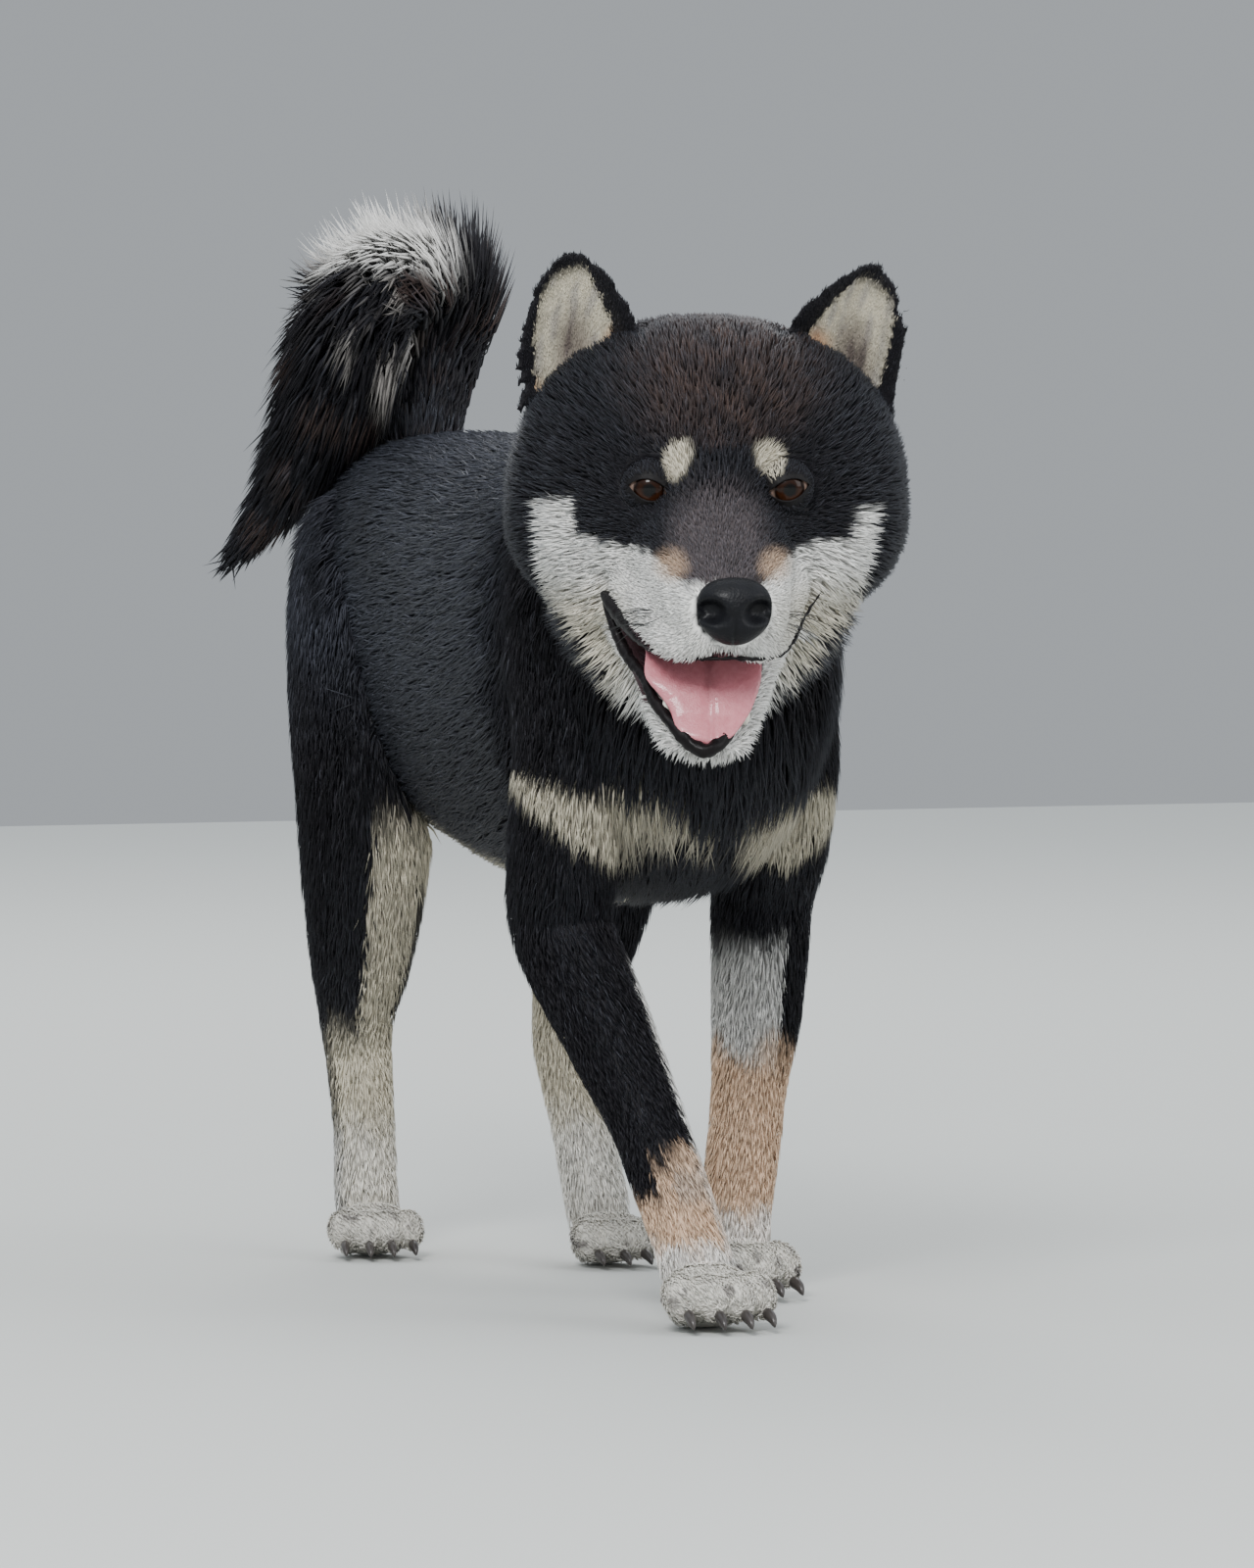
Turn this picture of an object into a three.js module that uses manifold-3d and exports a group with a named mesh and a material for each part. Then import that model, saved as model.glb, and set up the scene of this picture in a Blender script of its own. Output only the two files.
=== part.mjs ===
// A life-size walking shiba inu, as a still museum model, in millimetres.
// It faces -Y with its right side at -X, +Z is up, and its paws stand on the floor at Z 0.
import * as THREE from "three";
import { mergeVertices } from "three/addons/utils/BufferGeometryUtils.js";
import Module from "manifold-3d";

const wasm = await Module();
wasm.setup();

// Driving dimensions
const withers = 395; // height of the shoulders over the floor
const mm = withers / 395; // one millimetre on a dog of that height
const gap = 0.3; // space between neighbouring pieces
const skinOverLimb = 3.5 * mm; // how much of the trunk's skin goes with a limb
const headYaw = -16; // the head is turned to the dog's right, in degrees
const headPitch = 8; // and looks down a little
const headPlace = new THREE.Vector3(-33, -270, 376).multiplyScalar(mm);
const smallest = 0.12 * mm; // detail under this size, left where two surfaces meet, is merged
const centring = new THREE.Vector3(13, 69, 0); // moves the middle of the stance to the origin

// Materials
const coat = (color, roughness = 0.85) =>
  new THREE.MeshStandardMaterial({ color, roughness, metalness: 0 });
const blackFur = coat(0x1d1c20);
const tanFur = coat(0xc9a57c);
const creamFur = coat(0xd9d3c4);
const noseLeather = coat(0x14161b, 0.4);
const eyeBrown = coat(0x3a2010, 0.1);
const tonguePink = coat(0xc9737c, 0.45);

const right = new THREE.Vector3(-1, 0, 0); // the dog's own right
const up = new THREE.Vector3(0, 0, 1);
const vector = (x, y, z) => new THREE.Vector3(x, y, z).multiplyScalar(mm);
const halfTurn = Math.PI;
const radians = THREE.MathUtils.degToRad;

// One cross-section: its centre, then how far it reaches to the right, left, front or top, and back or bottom.
function section(x, y, z, toRight, toLeft, front, back) {
  return { centre: vector(x, y, z), reach: [toRight, toLeft, front, back].map((v) => v * mm) };
}
const round = (x, y, z, radius) => section(x, y, z, radius, radius, radius, radius);
const even = (x, y, z, half, front, back) => section(x, y, z, half, half, front, back);

// A closed geometry as a solid for joining and cutting.
function solidOf(geometry) {
  geometry.deleteAttribute("normal");
  geometry.deleteAttribute("uv");
  const merged = mergeVertices(geometry, 1e-3);
  return new wasm.Manifold(
    new wasm.Mesh({
      numProp: 3,
      vertProperties: new Float32Array(merged.attributes.position.array),
      triVerts: new Uint32Array(merged.index.array),
    }),
  );
}

// A body carried along a smooth path: a sphere's rows become cross-sections, with a round cap at each end.
// across is the direction of a section's first reach, and fullness squares its corners from 2 upwards.
function loft(sections, look = {}, grow = 0) {
  const { sides = 16, rings = 16, fullness = 2.2, across = right, caps = [0.5, 0.5] } = look;
  const capRings = look.capRings ?? 3;
  const last = sections.length - 1;
  const curve = (points) => new THREE.CatmullRomCurve3(points, false, "catmullrom");
  const path = curve(sections.map((s) => s.centre));
  const width = curve(sections.map((s) => new THREE.Vector3(s.reach[0], s.reach[1], 0)));
  const depth = curve(sections.map((s) => new THREE.Vector3(s.reach[2], s.reach[3], 0)));
  const geometry = new THREE.SphereGeometry(1, sides, rings);
  const place = new THREE.Vector3();
  for (let row = 0; row <= rings; row++) {
    const inStart = row < capRings;
    const inEnd = row > rings - capRings;
    const turn = (inStart ? row : inEnd ? rings - row : capRings) / capRings * halfTurn / 2;
    const between = (row - capRings) / (rings - 2 * capRings);
    const along = inStart
      ? caps[0] * (1 - Math.cos(turn))
      : inEnd
        ? last - caps[1] * (1 - Math.cos(turn))
        : caps[0] + between * (last - caps[0] - caps[1]);
    const centre = path.getPoint(along / last);
    const tangent = path.getTangent(along / last);
    const side = across.clone().addScaledVector(tangent, -across.dot(tangent)).normalize();
    const forward = side.clone().cross(tangent);
    const w = width.getPoint(along / last);
    const d = depth.getPoint(along / last);
    if (inStart) centre.addScaledVector(tangent, -grow * Math.cos(turn));
    if (inEnd) centre.addScaledVector(tangent, grow * Math.cos(turn));
    for (let column = 0; column <= sides; column++) {
      const angle = (column / sides) * 2 * halfTurn;
      const [c, s] = [Math.cos(angle), Math.sin(angle)];
      const x = Math.sign(c) * Math.abs(c) ** (2 / fullness) * ((c > 0 ? w.x : w.y) + grow);
      const y = Math.sign(s) * Math.abs(s) ** (2 / fullness) * ((s > 0 ? d.x : d.y) + grow);
      place.copy(centre);
      place.addScaledVector(side, x * Math.sin(turn));
      place.addScaledVector(forward, y * Math.sin(turn));
      geometry.attributes.position.setXYZ(row * (sides + 1) + column, place.x, place.y, place.z);
    }
  }
  return solidOf(geometry);
}

// A ball stretched along the three axes.
function ball(x, y, z, halfSizes, sides = 14, rings = 10) {
  const geometry = new THREE.SphereGeometry(1, sides, rings);
  geometry.scale(...halfSizes.map((v) => v * mm));
  geometry.translate(x * mm, y * mm, z * mm);
  return solidOf(geometry);
}

const union = (solids) => solids.reduce((a, b) => a.add(b));
const cut = (solid, ...tools) => tools.reduce((a, b) => a.subtract(b), solid);

// The largest closed body of a solid, without the scraps that a cut leaves.
function largest(solid) {
  return solid.decompose().sort((a, b) => b.volume() - a.volume())[0];
}

// The two sides of a thin cut through a point: the side that the direction points to comes first.
function parted(solid, point, direction) {
  const n = direction.clone().normalize();
  const offset = n.dot(point);
  return [
    largest(solid.trimByPlane([n.x, n.y, n.z], offset + gap / 2)),
    largest(solid.trimByPlane([-n.x, -n.y, -n.z], -offset + gap / 2)),
  ];
}

const model = new THREE.Group();

// A named mesh of one closed body, added to the model.
function add(name, solid, material) {
  const mesh = largest(solid.simplify(smallest)).getMesh();
  const geometry = new THREE.BufferGeometry();
  geometry.setAttribute("position", new THREE.BufferAttribute(mesh.vertProperties, 3));
  geometry.setIndex(new THREE.BufferAttribute(mesh.triVerts, 1));
  geometry.computeVertexNormals();
  const made = new THREE.Mesh(geometry, material);
  made.name = name;
  model.add(made);
}

// Trunk and neck, from the rump to inside the head
const trunkSections = [
  even(0, 214, 325, 40, 38, 52),
  even(0, 185, 318, 56, 64, 84),
  even(0, 140, 315, 64, 72, 107),
  even(0, 90, 316, 67, 73, 121),
  even(0, 35, 308, 71, 81, 122),
  even(-1, -25, 298, 75, 91, 120),
  even(-2, -85, 293, 76, 99, 118),
  even(-3, -135, 296, 74, 104, 117),
  even(-5, -178, 312, 70, 100, 108),
  even(-11, -208, 335, 67, 80, 82),
  even(-22, -238, 362, 64, 62, 66),
  even(-33, -268, 380, 52, 46, 50),
];
const trunkLook = { sides: 24, rings: 26, fullness: 2.35, capRings: 4 };
const neckCut = { point: vector(0, -150, 330), direction: new THREE.Vector3(0, -0.82, 0.57) };
const trunk = (grow = 0) => loft(trunkSections, trunkLook, grow);

// Limbs: how far their cross-sections reach sideways, forwards and backwards, from the trunk to the foot
const foreGirth = [
  [20, 20, 24],
  [25, 36, 38],
  [27, 38, 42],
  [26, 32, 38],
  [24, 27, 31],
  [22, 22.5, 22],
  [18.5, 18, 18.5],
  [17.5, 17, 18],
  [17, 15, 16],
  [18, 16, 16],
];
const hindGirth = [
  [22, 28, 26],
  [30, 44, 42],
  [34, 46, 48],
  [33, 38, 45],
  [30, 32, 38],
  [25, 24, 28],
  [19, 17, 21],
  [16.5, 15, 17],
  [15, 14, 14],
  [15, 14, 15],
  [15, 14, 15],
];
const limbLook = { sides: 12, rings: 20, fullness: 2.15 };

// Each limb's path, one point for each cross-section, and where its paw stands and is turned to, in degrees
const limbs = [
  {
    side: "right",
    hind: false,
    path: [
      [-48, -118, 350],
      [-53, -148, 305],
      [-55, -170, 255],
      [-58, -170, 205],
      [-57, -166, 170],
      [-48, -198, 124],
      [-41, -224, 90],
      [-38, -240, 68],
      [-35, -264, 36],
      [-35, -277, 20],
    ],
    paw: [-37, -292],
    turn: -3,
  },
  {
    side: "left",
    hind: false,
    path: [
      [43, -118, 350],
      [47, -142, 305],
      [50, -158, 255],
      [53, -145, 212],
      [54, -128, 180],
      [51, -127, 128],
      [47, -128, 94],
      [44, -130, 72],
      [37, -137, 38],
      [33, -143, 20],
    ],
    paw: [30, -151],
    turn: 2,
  },
  {
    side: "right",
    hind: true,
    path: [
      [-38, 165, 355],
      [-44, 150, 315],
      [-48, 128, 265],
      [-52, 108, 222],
      [-51, 112, 180],
      [-48, 126, 140],
      [-45, 140, 112],
      [-42, 146, 92],
      [-42, 140, 60],
      [-44, 131, 32],
      [-46, 122, 20],
    ],
    paw: [-48, 112],
    turn: -12,
  },
  {
    side: "left",
    hind: true,
    path: [
      [38, 165, 355],
      [44, 140, 312],
      [49, 108, 265],
      [53, 78, 226],
      [52, 76, 186],
      [47, 82, 146],
      [43, 88, 118],
      [41, 88, 98],
      [40, 68, 64],
      [39, 48, 34],
      [38, 38, 20],
    ],
    paw: [38, 28],
    turn: 4,
  },
];

// Paw: a pad with four arched toes and their claws, facing -Y, with its middle over its own origin
const toeSpread = 11.5;
const toeReach = [-2, 4, 4, -2];
const toeLook = { sides: 7, rings: 7, caps: [0.6, 0.7], capRings: 2 };
const clawLook = { sides: 4, rings: 4, fullness: 2, capRings: 1 };
const hindPawShare = 0.88; // a hind paw's size beside a fore paw's

function toe(x, reach, grow) {
  const knuckles = [
    even(x * toeSpread * 0.8, 0, 15, 8, 9, 9),
    even(x * toeSpread, -15 - reach, 16, 8.6, 10, 10),
    even(x * toeSpread * 1.04, -26 - reach, 8, 7.2, 7.5, 10),
  ];
  const claw = [
    even(x * toeSpread * 1.04, -27 - reach, 9, 2.6, 3, 3),
    even(x * toeSpread * 1.07, -36 - reach, 6.5, 2.1, 2.5, 2.5),
    even(x * toeSpread * 1.1, -41 - reach, 2.4, 0.8, 0.9, 0.9),
  ];
  return loft(knuckles, toeLook, grow).add(loft(claw, clawLook, grow));
}

function paw(grow = 0) {
  const pad = [even(0, 19, 17, 14, 11, 18), even(0, 4, 16, 20, 14, 19), even(0, -10, 15, 22, 13, 18)];
  const middle = (toeReach.length - 1) / 2;
  return union([
    loft(pad, { sides: 10, rings: 7, caps: [0.7, 0.7], capRings: 2 }, grow),
    ...toeReach.map((reach, i) => toe(i - middle, reach, grow)),
  ]);
}

// A whole limb with its foot, from its root in the trunk to a flat sole.
function limb(leg, grow = 0) {
  const girth = leg.hind ? hindGirth : foreGirth;
  const sections = leg.path.map((p, i) => even(...p, ...girth[i]));
  const share = leg.hind ? hindPawShare : 1;
  const place = [leg.paw[0] * mm, leg.paw[1] * mm, 0];
  const foot = paw(grow / share).scale([share, share, share]).rotate([0, 0, leg.turn]);
  return loft(sections, limbLook, grow).add(foot.translate(place)).trimByPlane([0, 0, 1], 0);
}

// A point of a limb's path and the path's direction there, for a cut across it.
function across(leg, index) {
  const point = vector(...leg.path[index]);
  const direction = vector(...leg.path[index + 1]).sub(vector(...leg.path[index - 1]));
  return [point, direction];
}

// Skull and muzzle, in the head's own frame: how far back, the middle's height, and the reaches there
const headLook = { sides: 20, rings: 14, fullness: 2.3 };
const skullSections = [
  even(2, 60, -15, 70, 70, 60),
  even(2, 35, -20, 84, 82, 60),
  even(2, 10, -20, 87, 84, 56),
  even(2, -10, -20, 81, 84, 54),
  even(1, -28, -20, 69, 77, 48),
  even(0, -42, -20, 54, 62, 42),
  even(0, -55, -20, 42, 38, 38),
  even(0, -64, -20, 34, 24, 34),
];
const muzzleSections = [
  even(0, -40, -26, 40, 26, 30),
  even(0, -60, -30, 36, 30, 28),
  even(0, -80, -35, 32.5, 25, 23),
  even(0, -100, -38, 29.5, 21, 20),
  even(0, -115, -40, 26, 18, 18),
  even(0, -127, -41, 19, 14, 14),
];
const muzzleLook = { sides: 14, rings: 10, fullness: 2.6, capRings: 2 };

// Cheek and throat fur under the skull, on both sides of the jaw
const jowlSections = [
  even(1, 50, -30, 52, 40, 50),
  even(0, 20, -36, 70, 44, 66),
  even(-1, -10, -40, 70, 42, 68),
  even(-2, -32, -42, 58, 36, 62),
  even(-3, -48, -46, 44, 18, 46),
];
const jowlLook = { sides: 16, rings: 9, fullness: 2.1 };
const jawSections = [
  even(-1, -15, -58, 44, 16, 22),
  even(-2, -40, -66, 40, 12, 19),
  even(-3, -60, -78, 33, 10, 16),
  even(-4, -80, -90, 27, 9, 13),
  even(-5, -98, -99, 22.5, 7, 10),
  even(-5, -108, -103, 18, 6, 8),
];
const jawLook = { sides: 12, rings: 9, fullness: 2.4, capRings: 2 };
const canine = { x: 17, y: -98, root: -94, tip: -81, width: 3 };

// The open mouth from the side: its corner, then the palate's line forwards and the lower lip's line back
const mouthCorner = [-46, -46];
const palateLine = [
  [-60, -58],
  [-85, -61],
  [-142, -57],
];
const lowerLine = [
  [-142, -97],
  [-108, -97],
  [-80, -81],
  [-60, -67],
];
const mouthWidth = 120;

// Lips: the right half of each line from the mouth's corner to the front, and their thickness
const upperLip = [
  [-46, -48, -46],
  [-38, -66, -54],
  [-30, -88, -57.5],
  [-21, -110, -57.5],
];
const upperLipFront = [0, -124, -54];
const lowerLip = [
  [-46, -48, -48],
  [-38, -64, -67],
  [-32, -84, -82],
  [-25, -102, -92],
];
const lowerLipFront = [-5, -114, -97];
const lipRadius = 3.2;
const flewRadius = 9; // the soft edge of the upper lip above its dark line

// The left half of a line repeats the right one, seen from its front point.
function acrossFront(half, front) {
  const leftHalf = half.map(([x, y, z]) => [2 * front[0] - x, y, z]).reverse();
  return [...half, front, ...leftHalf];
}

function lip(half, front, grow) {
  const sections = acrossFront(half, front).map((p) => round(...p, lipRadius));
  return loft(sections, { sides: 6, rings: 14, fullness: 2, across: up, capRings: 1 }, grow);
}

// The flews lie inside and above the upper lip's line, and thin out towards its corners.
function flews(grow) {
  const inside = upperLip.map(([x, y, z]) => [x * 0.86, y + 1, z + 6]);
  const front = [upperLipFront[0], upperLipFront[1] + 6, upperLipFront[2] + 6];
  const points = acrossFront(inside, front);
  const sections = points.map((p, i) => {
    const fromEnd = Math.min(i, points.length - 1 - i);
    return round(...p, flewRadius * (fromEnd ? 1 : 0.8));
  });
  return loft(sections, { sides: 8, rings: 12, fullness: 2, across: up, capRings: 2 }, grow);
}

// The wedge of air between the jaws. Inset draws its lines together, as the flesh on both sides grows.
function mouthAir(inset = 0) {
  const outline = [
    [mouthCorner[0] - 5 * inset, mouthCorner[1] - 5.6 * inset],
    ...palateLine.map(([y, z]) => [y, z - 1.4 * inset]),
    ...lowerLine.map(([y, z]) => [y, z + 1.9 * inset]),
  ];
  const shape = new THREE.Shape(outline.map(([y, z]) => new THREE.Vector2(y * mm, z * mm)));
  const geometry = new THREE.ExtrudeGeometry(shape, { depth: mouthWidth * mm, bevelEnabled: false });
  // The outline's axes are turned from X and Y to the head's Y and Z.
  const turned = new THREE.Matrix4().makeBasis(
    new THREE.Vector3(0, 1, 0),
    new THREE.Vector3(0, 0, 1),
    new THREE.Vector3(1, 0, 0),
  );
  geometry.applyMatrix4(turned);
  geometry.translate((-mouthWidth / 2) * mm, 0, 0);
  return solidOf(geometry);
}

function headForm(grow = 0) {
  const form = union([
    loft(skullSections, headLook, grow),
    loft(muzzleSections, muzzleLook, grow),
    loft(jowlSections, jowlLook, grow),
  ]);
  return union([form.subtract(mouthAir(grow)), flews(grow), lip(upperLip, upperLipFront, grow)]);
}

function jawForm(grow = 0) {
  const canines = [-1, 1].map((side) => {
    const x = jawSections[4].centre.x / mm + side * canine.x;
    const tooth = [
      round(x, canine.y + 3, canine.root, canine.width),
      round(x, canine.y, (canine.root + canine.tip) / 2, canine.width * 0.8),
      round(x, canine.y + 1.5, canine.tip, canine.width * 0.25),
    ];
    return loft(tooth, { sides: 6, rings: 6, fullness: 2, capRings: 1 }, grow);
  });
  return union([loft(jawSections, jawLook, grow), lip(lowerLip, lowerLipFront, grow), ...canines]);
}

// Eyes: a ball behind lids that leave an almond open, looking forwards and a little outwards
const eye = { x: 30.5, y: -49.5, z: 0, radius: 10.8, lid: 2, outward: 18, width: 8.6, height: 4.9 };

function eyeBall(side, radius) {
  return ball(side * eye.x, eye.y, eye.z, [radius, radius, radius], 14, 9);
}

function eyeOpening(side) {
  const shape = new THREE.Shape();
  shape.moveTo(-eye.width * mm, -1.2 * mm);
  shape.quadraticCurveTo(0, eye.height * 2.1 * mm, eye.width * mm, 1.6 * mm);
  shape.quadraticCurveTo(0, -eye.height * 2.1 * mm, -eye.width * mm, -1.2 * mm);
  const depth = 30 * mm;
  const geometry = new THREE.ExtrudeGeometry(shape, { depth, bevelEnabled: false, curveSegments: 5 });
  geometry.rotateX(halfTurn / 2);
  if (side < 0) geometry.applyMatrix4(new THREE.Matrix4().makeRotationY(halfTurn));
  geometry.rotateZ(radians(side * eye.outward));
  geometry.translate(side * eye.x * mm, eye.y * mm, eye.z * mm);
  return solidOf(geometry);
}

// Ears: cupped leaves, each between an inner and an outer edge that run from the head up to its tip
const ears = [
  {
    side: "right",
    inner: [vector(-29, 6, 44), vector(-33, 6, 64), vector(-41, 3, 79), vector(-51, 0, 91)],
    outer: [vector(-76, 24, 8), vector(-81, 21, 32), vector(-80, 16, 56), vector(-73, 7, 82)],
    tip: vector(-61, 0, 98),
  },
  {
    side: "left",
    inner: [vector(32, 6, 40), vector(38, 6, 59), vector(50, 3, 75), vector(62, 0, 86)],
    outer: [vector(78, 24, 4), vector(84, 21, 26), vector(87, 15, 50), vector(83, 7, 76)],
    tip: vector(74, 0, 92),
  },
];
const earCup = 17 * mm;
const earThickness = 4.4 * mm;

// A flattened ball: its outline goes to the edges, and its two faces to the front and back of the leaf.
function earShell(ear) {
  const geometry = new THREE.SphereGeometry(1, 18, 10);
  const position = geometry.attributes.position;
  const inner = new THREE.CatmullRomCurve3([...ear.inner, ear.tip], false, "catmullrom");
  const outer = new THREE.CatmullRomCurve3([...ear.outer, ear.tip], false, "catmullrom");
  const wide = ear.outer[0].clone().sub(ear.inner[0]);
  const tall = ear.tip.clone().sub(ear.inner[0]);
  const back = tall.cross(wide).normalize();
  back.multiplyScalar(Math.sign(back.y));
  const turned = Math.sign(ear.tip.x); // the right ear's outer edge lies the other way
  for (let i = 0; i < position.count; i++) {
    const [a, b, c] = [position.getX(i), position.getZ(i), position.getY(i)];
    const height = (b + 1) / 2;
    const chord = Math.sqrt(Math.max(1 - b * b, 1e-9));
    const u = Math.abs(a) < 1e-6 ? 0 : THREE.MathUtils.clamp((turned * a) / chord, -1, 1);
    const bulge = (1 - u * u) * earCup * (1 - height) ** 0.6 + (c * earThickness) / 2;
    const place = inner.getPoint(height).lerp(outer.getPoint(height), (u + 1) / 2);
    place.addScaledVector(back, bulge);
    position.setXYZ(i, place.x, place.y, place.z);
  }
  return solidOf(geometry);
}

// Nose leather on the end of the muzzle, with its two nostrils
const nose = { y: -127, z: -37, half: [17, 11, 13] };
const nostril = { x: 8, y: -139.5, z: -39, half: [3.4, 5, 3] };

function noseForm(grow = 0) {
  const half = nose.half.map((v) => v + grow / mm);
  return ball(0, nose.y, nose.z, half, 14, 9);
}

// Tongue, lolling over the lower lip, with a groove along its middle
const tongueSections = [
  even(-2, -44, -57, 22, 3, 3),
  even(-3, -62, -60, 28, 3, 3),
  even(-4, -82, -70, 28, 3, 3),
  even(-4, -92, -79, 22, 3, 3),
  even(-4, -104, -90, 18, 2.8, 2.8),
  even(-5, -115, -101, 12, 2.4, 2.4),
];
const tongueLook = { sides: 10, rings: 11, fullness: 2.4, capRings: 2 };
const groove = [round(-3, -60, -55, 1.8), round(-4, -86, -70.5, 1.8), round(-4, -106, -88, 1.2)];

// Tail: a root rising from the rump, and the brush that curls over to the dog's right
const tailRootPath = [
  [4, 196, 362, 22],
  [14, 216, 392, 33],
  [18, 220, 424, 40],
  [12, 214, 448, 34],
];
const tailBrushPath = [
  [-14, 194, 450, 30],
  [-28, 186, 426, 31],
  [-42, 184, 396, 25],
  [-57, 191, 366, 17],
  [-72, 199, 343, 11],
  [-84, 205, 325, 5],
];
const tailCrown = { x: -5, y: 200, z: 448, half: [38, 34, 40] };
const tailLook = { sides: 12, rings: 12, fullness: 2, across: new THREE.Vector3(-0.5, -0.8, 0.2) };

function tailPart(path, grow = 0) {
  const sections = path.map(([x, y, z, radius]) => round(x, y, z, radius));
  return loft(sections, tailLook, grow);
}

// The head's pieces go from their own frame to their place on the neck.
const headTurn = new THREE.Matrix4()
  .makeTranslation(headPlace)
  .multiply(new THREE.Matrix4().makeRotationZ(radians(headYaw)))
  .multiply(new THREE.Matrix4().makeRotationX(radians(headPitch)));
const onNeck = (solid) => solid.transform(headTurn.elements);

function addHead() {
  const lids = union([-1, 1].map((side) => eyeBall(side, eye.radius + eye.lid)));
  const sockets = union([-1, 1].map((side) => eyeBall(side, eye.radius + gap / mm)));
  const openings = union([-1, 1].map((side) => eyeOpening(side)));
  const head = cut(headForm().add(lids), sockets, openings, noseForm(gap));
  const jaw = jawForm().subtract(headForm(gap));
  const tongue = cut(loft(tongueSections, tongueLook), loft(groove, { sides: 5, rings: 6, capRings: 1 }));
  const nostrils = [-1, 1].map((side) => {
    return ball(side * nostril.x, nostril.y, nostril.z, nostril.half, 8, 6);
  });
  add("head", onNeck(head), blackFur);
  add("lower_jaw", onNeck(jaw), creamFur);
  add("tongue", onNeck(cut(tongue, headForm(gap), jawForm(gap))), tonguePink);
  add("nose", onNeck(cut(noseForm(), ...nostrils)), noseLeather);
  for (const ear of ears) {
    add(`eye_${ear.side}`, onNeck(eyeBall(Math.sign(ear.tip.x), eye.radius)), eyeBrown);
    add(`ear_${ear.side}`, onNeck(earShell(ear).subtract(headForm(gap))), blackFur);
  }
}

function addTrunk() {
  const grownLimbs = limbs.map((leg) => limb(leg, skinOverLimb + gap));
  const bare = cut(trunk(), ...grownLimbs);
  const [neck, torso] = parted(bare, neckCut.point, neckCut.direction);
  add("neck", cut(neck, onNeck(headForm(gap)), onNeck(jawForm(gap))), blackFur);
  add("torso", torso, blackFur);
}

// A limb keeps the trunk's skin where it runs under it, and is cut across at its two main joints.
function addLimb(leg) {
  const flesh = trunk().add(limb(leg)).intersect(limb(leg, skinOverLimb));
  const whole = flesh.trimByPlane([0, 0, 1], 0);
  const [lower, upper] = parted(whole, ...across(leg, leg.hind ? 3 : 4));
  const [foot, middle] = parted(lower, ...across(leg, 7));
  const names = leg.hind ? ["thigh", "shank", "hindpaw"] : ["shoulder", "forearm", "forepaw"];
  add(`${names[0]}_${leg.side}`, upper, blackFur);
  add(`${names[1]}_${leg.side}`, middle, tanFur);
  add(`${names[2]}_${leg.side}`, foot, creamFur);
}

function addTail() {
  const clear = [trunk(gap), ...limbs.filter((leg) => leg.hind).map((leg) => limb(leg, gap))];
  add("tail_root", cut(tailPart(tailRootPath), ...clear), blackFur);
  const crown = ball(tailCrown.x, tailCrown.y, tailCrown.z, tailCrown.half);
  const brush = tailPart(tailBrushPath).add(crown);
  add("tail_brush", cut(brush, tailPart(tailRootPath, gap), ...clear), blackFur);
}

addHead();
addTrunk();
limbs.forEach(addLimb);
addTail();
model.position.copy(centring);

export default model;
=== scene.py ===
import math

import bpy
import numpy as np
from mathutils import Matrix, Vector


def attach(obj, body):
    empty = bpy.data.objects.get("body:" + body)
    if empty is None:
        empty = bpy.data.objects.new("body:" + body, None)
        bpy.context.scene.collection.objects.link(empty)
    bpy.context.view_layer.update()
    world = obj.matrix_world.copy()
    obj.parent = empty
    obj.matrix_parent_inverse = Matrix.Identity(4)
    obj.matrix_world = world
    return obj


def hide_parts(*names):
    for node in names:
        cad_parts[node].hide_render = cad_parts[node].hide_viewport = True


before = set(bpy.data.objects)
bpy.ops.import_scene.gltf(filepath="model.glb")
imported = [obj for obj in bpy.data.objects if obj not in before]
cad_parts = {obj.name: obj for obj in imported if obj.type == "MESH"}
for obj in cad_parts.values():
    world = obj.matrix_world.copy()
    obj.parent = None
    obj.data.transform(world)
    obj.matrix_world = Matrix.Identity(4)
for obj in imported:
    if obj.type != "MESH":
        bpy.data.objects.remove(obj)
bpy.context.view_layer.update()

# Sections below are in millimetres, with the dog facing -Y and its right side at -X.
centring = np.array((13.0, 69.0, 0.0))
unit = 0.001
rng = np.random.default_rng(11)

headPlace = {"origin": (-33, -270, 376), "yaw": -16, "pitch": 8}


# The head's axes in the body: a turn about X by its pitch, then about Z by its yaw.
def headAxes():
    yaw = math.radians(headPlace["yaw"])
    pitch = math.radians(headPlace["pitch"])
    c, s = math.cos(yaw), math.sin(yaw)
    aboutZ = np.array(((c, -s, 0), (s, c, 0), (0, 0, 1)))
    c, s = math.cos(pitch), math.sin(pitch)
    aboutX = np.array(((1, 0, 0), (0, c, -s), (0, s, c)))
    return aboutZ @ aboutX


headTurn = headAxes()


# A head point in the body: turned by the head's axes, then moved to its origin.
def fromHead(points):
    return points @ headTurn.T + np.array(headPlace["origin"], float)


# A body point in the head: moved back, then turned by the transposed axes.
def toHead(points):
    return (points - np.array(headPlace["origin"], float)) @ headTurn


# A vector divided by its own length.
def unitRows(v):
    return v / np.maximum(np.linalg.norm(v, axis=-1, keepdims=True), 1e-9)


# A step from 0 to 1 between two values, as three squares less two cubes of the share.
def smoothStep(low, high, value):
    t = np.clip((value - low) / (high - low), 0, 1)
    return t * t * (3 - 2 * t)


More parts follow.
